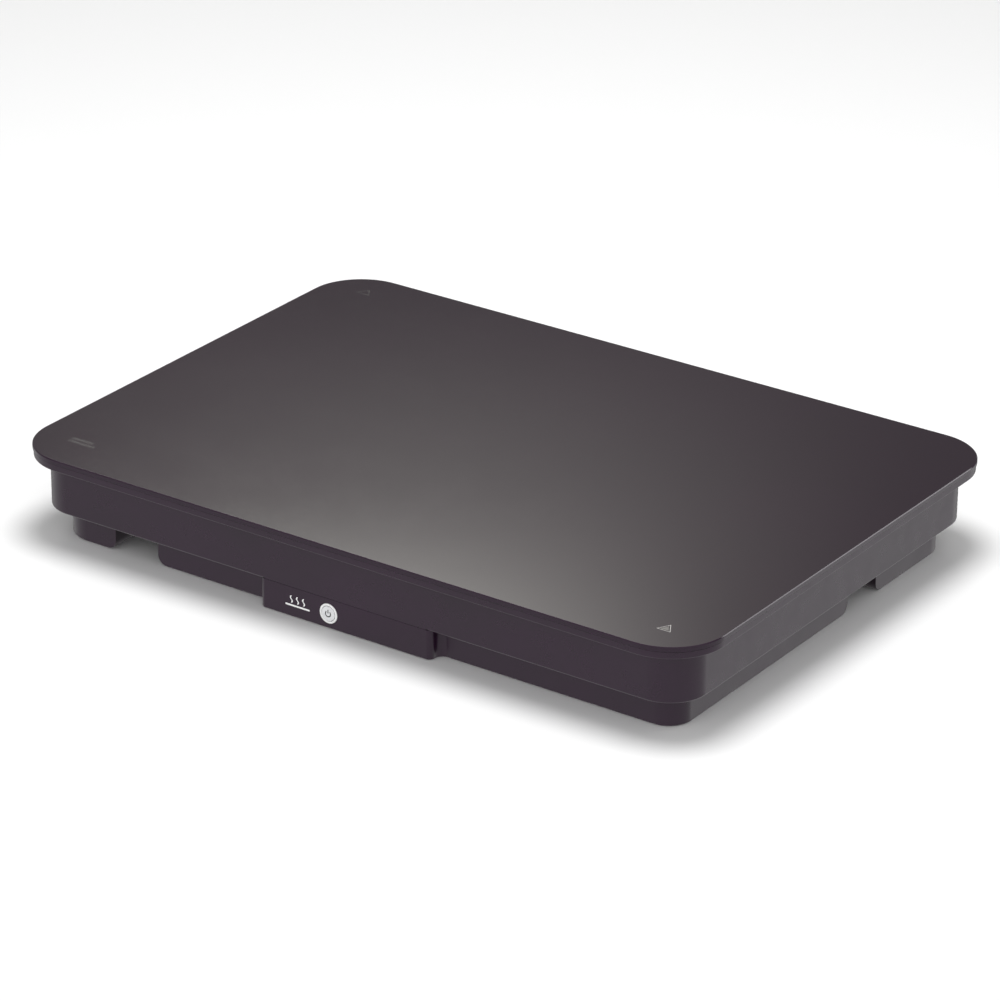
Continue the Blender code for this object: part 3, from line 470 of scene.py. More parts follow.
def sleeve(name, colour, second=None):
    """Soft gloss and faint streaks, for a lead's sleeve or for ink, with a second colour as stripes."""
    look = Look(name, colour, 0.42, Specular_IOR_Level=0.45)
    base = look.mottled(look.noise(0.003, 4), 0.88, 1.1)
    if second:
        stripe = look.node("ShaderNodeTexWave", wave_type="BANDS", bands_direction="DIAGONAL")
        look.link(look.places, stripe.inputs["Vector"])
        stripe.inputs["Scale"].default_value = 1 / (math.tau * 0.0012)
        base = look.mixed(look.ranged(stripe.outputs["Fac"], 0, 1, 0.60, 0.66), base, second)
    look.paint(base)
    look.roughen(look.noise(0.0012, 4), 0.36, 0.52)
    look.relief(look.noise(0.0006, 2), 0.00001, 0.5)
    return look.material


def make_looks():
    """A look for each material slot of the record, the glass's edge, and the notches' inner faces, whose
    darker, duller look is painted shade.
    """
    table = {
        "black_glass": (black_glass, (0.0085, 0.0012, 0.0068)),
        "ground_edge": (ground_edge, (0.0100, 0.0012, 0.0100)),
        "silicone": (rubber, (0.012, 0.012, 0.012), 0.6),
        "body_plastic": (moulded, (0.0140, 0.0010, 0.0140), 0.28),
        # painted shade: the base's sheen is set a little lower than the body's, darkening it as if it
        # mirrored the shadowed floor
        "base_plastic": (moulded, (0.0140, 0.0006, 0.0140), 0.30, 0.0004, 0.00001, 0.455),
        # painted shade: the notches' inner faces are darker and far less glossy than the base's outside
        "notch_plastic": (moulded, (0.0120, 0.0050, 0.0110), 0.55, 0.0007, 0.00003, 0.12),
        "foot_rubber": (rubber, (0.020, 0.020, 0.020), 0.8),
        "ring_white": (glossy, (0.88, 0.88, 0.88), 0.28),
        "cap_grey": (glossy, (0.74, 0.745, 0.76), 0.34),
        "steel": (metal, (0.60, 0.60, 0.62), 0.32),
        "zinc": (spangled, (0.62, 0.64, 0.66)),
        "aluminium": (metal, (0.78, 0.78, 0.80), 0.34, (0.04, 1, 1)),
        "brass": (metal, (0.78, 0.60, 0.28), 0.28),
        "mat_orange": (heating_mat, (0.60, 0.19, 0.05)),
        "fibre": (fibre, (0.72, 0.68, 0.58)),
        "board_green": (circuit_board, (0.020, 0.16, 0.055)),
        "part_green": (moulded, (0.05, 0.35, 0.16), 0.40),
        "part_blue": (glossy, (0.05, 0.10, 0.30), 0.35),
        "cap_yellow": (moulded, (0.75, 0.60, 0.10), 0.45),
        "cream": (moulded, (0.80, 0.76, 0.66), 0.50),
        "led_white": (glossy, (0.85, 0.85, 0.80), 0.16),
        "black_part": (moulded, (0.020, 0.020, 0.022), 0.42),
        "wire_brown": (sleeve, (0.22, 0.10, 0.05)),
        "wire_blue": (sleeve, (0.05, 0.15, 0.50)),
        "wire_green": (sleeve, (0.08, 0.32, 0.06), (0.80, 0.70, 0.05)),
        "wire_white": (sleeve, (0.80, 0.80, 0.78)),
        "wire_black": (sleeve, (0.03, 0.03, 0.03)),
        "wire_grey": (sleeve, (0.35, 0.35, 0.36)),
    }
    return {name: maker(name, *values) for name, (maker, *values) in table.items()}


LOOKS = make_looks()


def dress_nodes():
    """Each CAD node gets the look of the slot that the record names for it."""
    for row in frame["record"]["subparts"]:
        mesh = frame["nodes"][row["node"]].data
        mesh.materials.clear()
        mesh.materials.append(LOOKS[row["material_slot"]])


# ---- glass and seal ----
def make_glass():
    """The sheet, with its arrises ground and their edges just broken."""
    top, bottom = GLASS_HIGH.z - PRINT, GLASS_LOW.z
    (a, b), e, slight = GLASS_ARRISES, 0.15 * MM, 0.03 * MM
    section = [(b + e, bottom), (b, bottom + slight), (slight, bottom + b), (0, bottom + b + e),
               (0, top - a - e), (slight, top - a), (a, top - slight), (a + e, top)]
    rings = [ring(GLASS_HIGH.x - inset, GLASS_HIGH.y - inset, GLASS_RADIUS - inset, z)
             for inset, z in section]
    glass = blank("glass_plate_fine", lambda bm: loft(bm, rings))
    finish_piece(glass, "black_glass", "glass_plate", edge_look=LOOKS["ground_edge"])
    for face in glass.data.polygons:
        if abs(face.normal.z) < 0.999:
            face.material_index = 1


def make_gasket():
    """The bead: its outer side bulges, its inner side is flat with eased edges."""
    low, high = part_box("glass_gasket")
    middle, half, ease = (low.z + high.z) / 2, (high.z - low.z) / 2, 0.2 * MM
    bulge = half * 0.6
    outer = [(bulge - bulge * x, middle + half * z) for x, z in arc((0, 0), 1, -90, 90, 8)]
    inner = [(GASKET_WIDTH - ease, high.z), (GASKET_WIDTH, high.z - ease),
             (GASKET_WIDTH, low.z + ease), (GASKET_WIDTH - ease, low.z)]
    rings = [ring(high.x - inset, high.y - inset, radius - inset, z)
             for side, radius in ((outer, GASKET_RADIUS), (inner, GASKET_RADIUS - ease))
             for inset, z in side]
    seal = blank("glass_gasket_fine", lambda bm: loft(bm, rings, closed=True))
    finish_piece(seal, "silicone", "glass_gasket")


# ---- upper housing ----
def housing_section():
    """Round the housing's wall: how far out from the body's outer face, and the height."""
    top, rim, low = HOUSING_HIGH.z, RIM_BOTTOM, HOUSING_LOW.z
    out, (f, g), small = RIM_OVERHANG, RIM_FILLETS, 0.25 * MM
    inner, outer = GROOVE
    groove_floor = GLASS_LOW.z - 2 * GAP - GROOVE_DEPTH
    skirt, cove, root = 2.0 * MM, 0.5 * MM, 1.0 * MM  # the rim's foot on the wall, and two inside corners
    section = [(outer, groove_floor), (outer, top - small), (outer + small, top)]
    section += arc((out - f, top - f), f, 90, 0)
    section += arc((out - g, rim + g), g, 0, -90)
    section += [(out - RIM_LIP + small, rim), (out - RIM_LIP, rim + small),
                (out - RIM_LIP, rim + RIM_HOLLOW), (skirt, rim + RIM_HOLLOW),
                (skirt, rim + small), (skirt - small, rim), (cove, rim)]
    section += arc((cove, rim - cove), cove, 90, 180, 3)[1:]
    section += arc((-BODY_FILLET, low + BODY_FILLET), BODY_FILLET, 0, -90, 7)
    section += [(-LEDGE[0] + small, low), (-LEDGE[0], low + small), (-LEDGE[0], LEDGE_TOP - small),
                (-LEDGE[0] + small, LEDGE_TOP), (-WALL - root, LEDGE_TOP)]
    section += arc((-WALL - root, LEDGE_TOP + root), root, -90, 0, 4)[1:]
    section += [(-WALL, top - small), (-WALL + small, top), (inner - small, top),
                (inner, top - small), (inner, groove_floor)]
    return section


def housing_radius(out):
    """The corner radius at a distance out from the body's outer face."""
    if out < -2 * WALL:
        return LEDGE[1]
    if out < 0:
        return BODY_RADIUS + out
    return BODY_RADIUS + (RIM_RADIUS - BODY_RADIUS) * out / RIM_OVERHANG


def make_housing():
    rings = [ring(BODY[0] + out, BODY[1] + out, housing_radius(out), z) for out, z in housing_section()]
    housing = blank("upper_housing_fine", lambda bm: loft(bm, rings, closed=True))
    shield_screws, base_screws = spots("shield_screw"), spots("base_screw")
    foot, shield = LEDGE_TOP - OVERLAP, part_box("heat_shield")[0].z

    def posts(bm):
        for spot in shield_screws:
            screw_post(bm, spot, SHIELD_POST, foot, shield - GAP)
        for spot in base_screws:
            screw_post(bm, spot, BASE_POST, foot, BASE_POST_TOP)

    def pilots(bm):
        for spot in shield_screws:
            rod(bm, PILOT, 40.0 * MM, GLASS_HIGH.z, spot, steps=24)
        for spot in base_screws:
            rod(bm, PILOT, 20.0 * MM, BASE_POST_TOP - 1.5 * MM, spot, steps=24)

    def inlet_opening(bm):
        outline = rounded_outline(*(half + 0.4 * MM for half in INLET_BODY), 1.5 * MM)
        inside, outside = BODY[1] - 6 * MM, BODY[1] + 4 * MM
        prism(bm, outline, inside, outside, "Y", (INLET_X, 0, INLET_Z))
        for side in (-1, 1):
            rod(bm, INLET_HOLE, inside, outside, (INLET_X + side * INLET_SCREW_REACH, 0, INLET_Z), "Y", 24)

    boolean(housing, "UNION", posts, square_edge)
    boolean(housing, "DIFFERENCE", pilots, inlet_opening)
    finish_piece(housing, "body_plastic", "upper_housing")


def square_edge(bm):
    """Fills the body's lower fillet over the panel, where the edge is nearly square."""
    low, reach, deep = HOUSING_LOW.z, PANEL_HALF - PANEL_EDGE, BODY_FILLET + 0.4 * MM
    outline = [(FRONT, low + CRISP), (FRONT + CRISP, low), (FRONT + deep, low),
               (FRONT + deep, low + deep), (FRONT, low + deep)]
    prism(bm, outline, -reach, reach, "X")


def rod(bm, radius, low, high, centre=(0, 0, 0), axis="Z", steps=TURN_STEPS):
    turned(bm, [(0, low), (radius, low), (radius, high), (0, high)], centre, axis, steps)


def screw_post(bm, spot, radius, low, high):
    """A screw post whose top edge is eased."""
    ease = 0.4 * MM
    turned(bm, [(0, low), (radius, low), (radius, high - ease), (radius - ease, high), (0, high)],
           spot, steps=32)


# ---- base ----
def base_outline(inset):
    """The base seen from above: rounded corners, and the panel that stands forward."""
    half_x, half_y = BASE[0] - inset, BASE[1] - inset

    def corner(quarter, sx, sy, full):
        radius = full - inset
        return arc((sx * (half_x - radius), sy * (half_y - radius)), radius,
                   90 * quarter, 90 * quarter + 90, 14)

    wall, front = -half_y, FRONT + inset
    side, edge, cove = PANEL_HALF - inset, PANEL_EDGE - inset, PANEL_COVE + inset
    return [*corner(0, 1, 1, BASE_ROUNDER), *corner(1, -1, 1, BASE_RADIUS),
            *corner(2, -1, -1, BASE_ROUNDER),
            *arc((-side - cove, wall - cove), cove, 90, 0, 8),
            *arc((-side + edge, front + edge), edge, 180, 270, 8),
            *arc((side - edge, front + edge), edge, 270, 360, 8),
            *arc((side + cove, wall - cove), cove, 180, 90, 8),
            *corner(3, 1, -1, BASE_RADIUS)]


def notch_outline(middle, skin, top):
    """A notch's mouth: straight sides that flare into the foot of the wall."""
    radius = NOTCH_ROUND - skin
    reach = NOTCH_WIDTH / 2 + NOTCH_ROUND
    level, below = BASE_LOW.z + NOTCH_ROUND, BASE_LOW.z - 3 * MM
    points = [(-reach, below), (reach, below), *arc((reach, level), radius, 270, 180, 8),
              (reach - radius, top), (radius - reach, top), *arc((-reach, level), radius, 0, -90, 8)]
    return [(middle + x, z) for x, z in points]


def notches(bm, skin, top):
    """The four notches: one on each side of the base, half a turn apart in pairs."""
    outside, depth = 5 * CLEAR, NOTCH_DEPTH + skin
    for sign in (-1, 1):
        prism(bm, notch_outline(-sign * FRONT_NOTCH_X, skin, top),
              *sorted((sign * (BASE[1] + outside), sign * (BASE[1] - depth))), "Y")
        prism(bm, notch_outline(sign * SIDE_NOTCH_Y, skin, top),
              *sorted((sign * (BASE[0] + outside), sign * (BASE[0] - depth))), "X")


def slot_outline(x, y, width, length):
    """A slot with round ends, drawn from the middle of its first end."""
    radius = width / 2
    return arc((x, y + length - radius), radius, 0, 180, 6) + arc((x, y + radius), radius, 180, 360, 6)


def make_base():
    top = HOUSING_LOW.z - SEAM
    blunt = 0.4 * MM  # the top is made this much too high, then cut flat, so that its edge stays crisp
    base = blank("base_tray_fine", lambda bm: prism(bm, base_outline(0), BASE_LOW.z, top + blunt))
    boolean(base, "DIFFERENCE", lambda bm: notches(bm, 0, NOTCH_TOP))
    bevel(base, BASE_FILLET)
    boolean(base, "DIFFERENCE",
            lambda bm: prism(bm, rounded_outline(2 * BASE[0], 2 * BASE[1], 1 * MM), top, top + 9 * MM))
    hollow = blank("hollow", lambda bm: prism(bm, base_outline(WALL), FLOOR_TOP, 2 * BASE_HIGH.z))
    boolean(hollow, "DIFFERENCE", lambda bm: notches(bm, WALL, 3 * BASE_HIGH.z))
    combine(base, "DIFFERENCE", hollow)
    boolean(base, "UNION", base_bosses)
    boolean(base, "DIFFERENCE", base_wells, base_slots, label_recess)
    finish_piece(base, "base_plastic", "base_tray", edge_look=LOOKS["notch_plastic"])
    # the notches' inner faces get the darker, duller look: painted shade inside the notch
    for face in base.data.polygons:
        if in_notch(face.center):
            face.material_index = 1


def in_notch(point):
    """True on a notch's inner faces, which get a coarser grain and a darker, duller look that is painted
    shade inside the notch.
    """
    edge, reach = 0.8 * MM, NOTCH_WIDTH / 2 + NOTCH_ROUND
    spots = [(point.x + sign * FRONT_NOTCH_X, BASE[1] - sign * point.y) for sign in (-1, 1)]
    spots += [(point.y - sign * SIDE_NOTCH_Y, BASE[0] - sign * point.x) for sign in (-1, 1)]
    return point.z < NOTCH_TOP + edge and any(
        abs(across) < reach and edge < depth < NOTCH_DEPTH + edge for across, depth in spots)


def base_bosses(bm):
    """Round the screws' wells, and the stakes that hold both boards."""
    root = FLOOR_TOP - OVERLAP
    for spot in spots("base_screw"):
        rod(bm, BOSS, root, BASE_HIGH.z - GAP, spot, steps=40)
    low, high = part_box("power_board")
    inset, radius = 8 * MM, 3.5 * MM
    for x in (low.x + inset, high.x - inset):
        for y in (low.y + inset, high.y - inset):
            stake(bm, root, low.z, high.z, radius, (x, y, 0), "Z")
    low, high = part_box("control_board")
    inset, radius = 6 * MM, 2.8 * MM
    for x in (low.x + inset, high.x - inset):
        stake(bm, FRONT + WALL - OVERLAP, low.y, high.y, radius, (x, 0, BUTTON_Z), "Y")


def stake(bm, root, low, high, radius, centre, axis):
    """A moulded post with a pin through a board, its end melted over into a domed head."""
    pin, head = 1.1 * MM, 0.55 * radius + 0.6 * MM
    profile = [(0, root), (radius, root), (radius, low - GAP), (pin, low - GAP), (pin, high + GAP)]
    profile += [(head * math.cos(math.radians(a)), high + GAP + 1.0 * MM * math.sin(math.radians(a)))
                for a in range(0, 90, 15)]
    turned(bm, [*profile, (0, high + GAP + 1.0 * MM)], centre, axis, 24)


def base_wells(bm):
    """The screws' wells, the feet's recesses and the hole for the button's ring."""
    low, (mouth, bore), shank, top = BASE_LOW.z - CLEAR, WELL, 1.9 * MM, 3 * WELL_SEAT
    profile = [(0, low), (mouth, low), (mouth, BASE_LOW.z), (bore, BASE_LOW.z + mouth - bore),
               (bore, WELL_SEAT), (shank, WELL_SEAT), (shank, top), (0, top)]
    for spot in spots("base_screw"):
        turned(bm, profile, spot, steps=40)
    for spot in spots("foot_"):
        rod(bm, FOOT_RECESS[0], low, BASE_LOW.z + FOOT_RECESS[1], spot, steps=48)
    rod(bm, RING_HOLE, FRONT - CLEAR, FRONT + 3 * CLEAR, BUTTON, "Y")


def base_slots(bm):
    """Air slots: two rows of ten in the floor, and a row of twelve in the rear wall."""
    rows = ((36 * MM, 92 * MM), (-150 * MM, -128 * MM))  # x of a row's first slot, y of its front end
    for first, front in rows:
        for k in range(10):
            outline = slot_outline(first + k * 12 * MM, front, SLOT_WIDTH, 36 * MM)
            prism(bm, outline, BASE_LOW.z - OVERLAP, FLOOR_TOP + CLEAR)
    for k in range(12):
        outline = slot_outline((-110 + 8 * k) * MM, 8 * MM, SLOT_WIDTH, 11 * MM)
        prism(bm, outline, BASE[1] - 2 * CLEAR, BASE[1] + CLEAR, "Y")


def label_recess(bm):
    """A shallow field in the underside, where a rating label would go."""
    outline = [(x + 60 * MM, y - 10 * MM) for x, y in rounded_outline(38 * MM, 22 * MM, 3 * MM)]
    prism(bm, outline, BASE_LOW.z - OVERLAP, BASE_LOW.z + 0.3 * MM)


# ---- feet and screws ----
def make_feet():
    """Rubber discs with a rounded rim and a hollow in the middle of the tread."""
    for name in [node for node in frame["nodes"] if node.startswith("foot_")]:
        low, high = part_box(name)
        radius, middle = (high.x - low.x) / 2, (low + high) / 2
        hollow, lip = 0.25 * MM, 0.7 * MM
        profile = [(0, hollow), (radius * 0.45, hollow), (radius * 0.5, 0), (radius - lip, 0)]
        profile += arc((radius - lip, lip), lip, -90, 0, 5)[1:]
        profile += [(radius, high.z), (0, high.z)]
        foot = blank(name + "_fine", lambda bm: turned(bm, profile, (middle.x, middle.y, 0), steps=48))
        finish_piece(foot, "foot_rubber", name)


def cross_outline(arm, thin):
    quarter = [(arm, -thin), (arm, thin), (thin, thin)]
    turns = (lambda x, y: (x, y), lambda x, y: (-y, x), lambda x, y: (-x, -y), lambda x, y: (y, -x))
    return [turn(x, y) for turn in turns for x, y in quarter]


def pan_screw(name, radius, height, shank, length):
    """A pan-head screw along +Z from its seat at 0, its head below, with a cross recess."""
    pitch = 1.1 * MM
    core = shank * 0.78
    profile = [(0, -height), (radius * 0.55, -height), (radius * 0.82, -height * 0.86),
               (radius * 0.97, -height * 0.5), (radius, -height * 0.12), (radius * 0.98, 0),
               (shank * 0.80, 0)]
    for k in range(int((length - 2 * MM) / pitch)):
        z = 1 * MM + k * pitch
        profile += [(core, z), (shank, z + pitch * 0.45), (shank, z + pitch * 0.55)]
    profile += [(core, length - 0.8 * MM), (0, length)]
    made = blank(name, lambda bm: turned(bm, profile, steps=32))

    def cross(bm):
        mouth = cross_outline(radius * 0.56, radius * 0.13)
        end = cross_outline(radius * 0.25, radius * 0.09)
        loft(bm, [[(x, y, -height - 0.1 * MM) for x, y in mouth], [(x, y, -height * 0.25) for x, y in end]])

    boolean(made, "DIFFERENCE", cross)
    return made


def make_screws():
    """The base's screws point up into the housing, the inlet's point forward into the rear wall."""
    upright, forward = Matrix.Identity(4), Matrix.Rotation(math.pi / 2, 4, "X")
    for node in frame["nodes"]:
        low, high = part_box(node)
        middle = (low + high) / 2
        if node.startswith("base_screw"):
            radius, height, shank = 3.4 * MM, 2.4 * MM, 1.5 * MM
            seat, turn, length = Vector((middle.x, middle.y, low.z + height)), upright, high.z - low.z
        elif node.startswith("inlet_screw"):
            radius, height, shank = 2.9 * MM, 1.9 * MM, 1.4 * MM
            seat, turn, length = Vector((middle.x, high.y - height, middle.z)), forward, high.y - low.y
        else:
            continue
        screw = pan_screw(node + "_fine", radius, height, shank, length - height)
        screw.data.transform(Matrix.Translation(seat) @ turn)
        finish_piece(screw, "steel", node)


# ---- power button ----
def make_button():
    make_bezel()
    make_cap()
    make_symbol()
    make_spring()


def make_bezel():
    """The white ring: rounded at the front, with two snap ears behind the panel."""
    bore, outer = RING
    front, back, lip = BEZEL_LOW.y, BEZEL_HIGH.y, 0.5 * MM
    profile = [(bore, back), (bore, front + lip)]
    profile += arc((bore + lip, front + lip), lip, 180, 270, 4)[1:]
    profile += arc((outer - lip, front + lip), lip, -90, 0, 5)
    profile += [(outer, back), (bore, back)]
    bezel = blank("button_bezel_fine",
                  lambda bm: turned(bm, profile, BUTTON, "Y"))
    close_turn(bezel)

    def ears(bm):
        root, tip = outer - 0.6 * MM, 11 * MM
        for side in (-1, 1):
            outline = [(side * root, -4 * MM), (side * tip, -3 * MM), (side * tip, 3 * MM),
                       (side * root, 4 * MM)]
            prism(bm, outline, FRONT + WALL + GAP, back, "Y", BUTTON)

    boolean(bezel, "UNION", ears)
    finish_piece(bezel, "ring_white", "button_bezel")


def close_turn(target):
    """Welds a turned ring whose profile ends where it starts."""
    bm = bmesh.new()
    bm.from_mesh(target.data)
    bmesh.ops.remove_doubles(bm, verts=bm.verts, dist=1e-6)
    bmesh.ops.recalc_face_normals(bm, faces=bm.faces)
    bm.to_mesh(target.data)
    bm.free()


def make_cap():
    """The pressed disc: slightly dished face, flange that stops behind the bezel, and stem."""
    radius, face, ease = 5.8 * MM, CAP_LOW.y, 0.5 * MM
    flange, back, stem = FRONT + 4.3 * MM, FRONT + 5.5 * MM, CAP_HIGH.y
    dish, dish_radius, rings = 0.15 * MM, 4.9 * MM, 6
    shares = [k / rings for k in range(rings + 1)]
    profile = [(dish_radius * share, face + dish * (1 - share ** 2)) for share in shares]
    profile += arc((radius - ease, face + ease), ease, -90, 0, 5)
    profile += [(radius, flange - 0.3 * MM), (radius + 0.2 * MM, flange), (7.0 * MM, flange),
                (7.0 * MM, back), (1.8 * MM, back), (1.8 * MM, stem - 0.2 * MM), (1.6 * MM, stem), (0, stem)]
    cap = blank("button_cap_fine", lambda bm: turned(bm, profile, BUTTON, "Y"))
    finish_piece(cap, "cap_grey", "button_cap", body="power_button")


def make_symbol():
    """The standby sign: a ring that is open at the top, and an upright bar in the opening."""
    face = CAP_LOW.y + 0.10 * MM
    middle, half, gap = 2.25 * MM, 0.40 * MM, 42
    outline = arc((0, 0), middle + half, 90 + gap, 450 - gap, 32)
    outline += list(reversed(arc((0, 0), middle - half, 90 + gap, 450 - gap, 32)))
    bar = rounded_outline(half, 1.6 * MM, half * 0.99, 4)
    ink = sleeve("symbol_ink", (0.012, 0.012, 0.013))
    for name, points, lift in (("button_symbol_ring", outline, 0), ("button_symbol_bar", bar, 1.9 * MM)):
        mark = blank(name, lambda bm: prism(bm, [(x, z + lift) for x, z in points],
                                            face - PRINT, face + 0.3 * MM, "Y", BUTTON))
        finish_piece(mark, "black_part", look=ink, body="power_button")


def make_spring():
    """Coil spring round the switch, with closed ends."""
    low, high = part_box("button_spring")
    thread = 0.25 * MM
    coil = (high.x - low.x) / 2 - thread
    turns, per_turn, sides, closed = 5, 24, 8, 0.16
    count = turns * per_turn
    start, end = low.y + thread, high.y - thread

    def wire(bm):
        loops = []
        for k in range(count + 1):
            rise = min(max((k / count - closed) / (1 - 2 * closed), 0), 1)
            turn = math.tau * k / per_turn
            outward = Vector((math.cos(turn), 0, math.sin(turn)))
            middle = outward * coil + Vector((BUTTON_X, start + (end - start) * rise, BUTTON_Z))
            loops.append([middle + thread * (outward * math.cos(a) + Vector((0, math.sin(a), 0)))
                          for a in (math.tau * s / sides for s in range(sides))])
        loft(bm, loops)

    spring = blank("button_spring_fine", wire)
    finish_piece(spring, "steel", "button_spring")
    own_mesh(spring)


# ---- mains inlet ----
def make_inlet():
    """Flanged three-pole inlet: eased flange, shaped socket and a lip round its mouth."""
    rear, face = INLET_LOW.y, INLET_HIGH.y
    flange_back = BODY[1] + GAP
    flange = rounded_outline(*INLET_FLANGE, 4.0 * MM)
    place = (INLET_X, 0, INLET_Z)
    inlet = blank("mains_inlet_fine", lambda bm: prism(bm, flange, flange_back, face, "Y", place))
    bevel(inlet, 0.6 * MM)
    body = rounded_outline(*INLET_BODY, 1.2 * MM)
    boolean(inlet, "UNION", lambda bm: prism(bm, body, rear, flange_back + OVERLAP, "Y", place))
    width, height, slope = 12.1 * MM, 8.3 * MM, 4.5 * MM
    mouth = [(-width, -height), (width, -height), (width, height - slope), (width - slope, height),
             (slope - width, height), (-width, height - slope)]
    grown = [(x * 1.06, z * 1.06) for x, z in mouth]
    floor = face - 18.4 * MM
    blades = {"live": (-7.0 * MM, -2.0 * MM), "earth": (0, 2.0 * MM), "neutral": (7.0 * MM, -2.0 * MM)}

    def hollows(bm):
        prism(bm, mouth, floor, face + CLEAR, "Y", place)
        for x, z in blades.values():
            slot = [(px + x, pz + z) for px, pz in rounded_outline(1.35 * MM, 2.35 * MM, 0.5 * MM)]
            prism(bm, slot, rear - CLEAR, floor + CLEAR, "Y", place)
        for side in (-1, 1):
            rod(bm, INLET_HOLE, flange_back - CLEAR, face + CLEAR,
                (INLET_X + side * INLET_SCREW_REACH, 0, INLET_Z), "Y", 32)

    def flare(bm):
        loft(bm, [[(INLET_X + x, face - 0.8 * MM, INLET_Z + z) for x, z in mouth],
                  [(INLET_X + x, face + 0.2 * MM, INLET_Z + z) for x, z in grown]])

    boolean(inlet, "DIFFERENCE", hollows)
    boolean(inlet, "DIFFERENCE", flare)
    finish_piece(inlet, "black_part", "mains_inlet")
    for pole in blades:
        make_blade(pole + "_blade")


def make_blade(node):
    """A contact blade whose ends are eased."""
    low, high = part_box(node)
    middle, half = (low + high) / 2, (high - low) / 2
    outline = rounded_outline(half.x, half.z, 0.5 * MM, 4)
    blade = blank(node + "_fine", lambda bm: prism(bm, outline, low.y, high.y, "Y",
                                                   (middle.x, 0, middle.z)))
    bevel(blade, 0.4 * MM, angle=60)
    finish_piece(blade, "brass", node)


# ---- marks ----
def flat_mark(name, look, outlines, low, high, axis, centre):
    """Printed shapes as one piece: each outline is drawn out to the print's thickness."""

    def shapes(bm):
        for outline in outlines:
            prism(bm, outline, low, high, axis, centre)

    finish_piece(blank(name, shapes), "ring_white", look=look)


def wave_outline(x, low, high, sway, half, steps=14):
    """An upright wavy stroke."""
    middle = [(x + sway * math.sin(math.tau * k / steps), low + (high - low) * k / steps)
              for k in range(steps + 1)]
    return [(p - half, q) for p, q in reversed(middle)] + [(p + half, q) for p, q in middle]


def make_badge():
    """A plain sign on the panel beside the button: three waves of warmth over a plate."""
    middle = BUTTON_X - 27.7 * MM
    low = BUTTON_Z - 2.6 * MM
    plate = [(x, z + low) for x, z in rounded_outline(11.0 * MM, 0.7 * MM, 0.69 * MM, 4)]
    waves = [wave_outline(x, low + 2.0 * MM, low + 7.6 * MM, 0.8 * MM, 0.55 * MM)
             for x in (-5.5 * MM, 0, 5.5 * MM)]
    flat_mark("panel_badge", LOOKS["ring_white"], [plate, *waves],
              FRONT - PRINT, FRONT + 0.2 * MM, "Y", (middle, 0, 0))


def triangle(size):
    return [(size * math.cos(math.radians(a)), size * math.sin(math.radians(a))) for a in (90, 210, 330)]


def triangle_frame(size, stroke):
    """A triangle's outline, as three bars with mitred ends."""
    outer, inner = triangle(size), triangle(size - 2 * stroke)
    return [[outer[k], outer[(k + 1) % 3], inner[(k + 1) % 3], inner[k]] for k in range(3)]


def make_glass_marks():
    """Plain triangles at two opposite corners, and two faint rows of short bars at a third."""
    pale = glossy("pale_print", (0.34, 0.33, 0.32), 0.35)
    dim = glossy("dim_print", (0.11, 0.105, 0.10), 0.30)
    faint = glossy("faint_print", (0.013, 0.011, 0.012), 0.16, 0.42)
    x, y = GLASS_HIGH.x - 38.5 * MM, GLASS_HIGH.y - 30.2 * MM
    frame_bars = triangle_frame(6.6 * MM, 0.55 * MM)
    short_bar = rounded_outline(0.55 * MM, 1.5 * MM, 0.4 * MM, 3)
    rows = ((0, 10), (5.0 * MM, 8))
    bars = [[(px + k * 2.5 * MM, py + row) for px, py in short_bar]
            for row, count in rows for k in range(count)]
    marks = (("glass_mark_front_right", pale, frame_bars, (x, -y)),
             ("glass_mark_rear_left", faint, frame_bars, (-x, y)),
             ("glass_mark_front_right_fill", dim, [triangle(3.9 * MM)], (x, -y)),
             ("glass_mark_front_left", faint, bars, (31.0 * MM - GLASS_HIGH.x, 34.5 * MM - GLASS_HIGH.y)))
    for name, look, outlines, place in marks:
        flat_mark(name, look, outlines, GLASS_HIGH.z - PRINT - 0.2 * MM, GLASS_HIGH.z,
                  "Z", (*place, 0))


# ---- floor, light and camera ----
def make_floor():
    """Pale paper that is clear from below, and that the object's gloss doesn't mirror."""
    half = 12.0
    floor = blank("floor", lambda bm: bmesh.ops.create_grid(bm, x_segments=8, y_segments=8, size=half))
    look = Look("floor_paper", (0.80, 0.80, 0.80), 0.9, Specular_IOR_Level=0.1)
    look.roughen(look.noise(0.5, 3), 0.85, 0.95)
    side = look.node("ShaderNodeNewGeometry")
    clear = look.node("ShaderNodeBsdfTransparent")
    mix = look.node("ShaderNodeMixShader")
    look.link(side.outputs["Backfacing"], mix.inputs[0])
    look.link(look.shader.outputs[0], mix.inputs[1])
    look.link(clear.outputs[0], mix.inputs[2])
    look.link(mix.outputs[0], look.tree.nodes["Material Output"].inputs["Surface"])
    floor.data.materials.append(look.material)
    floor.visible_glossy = False


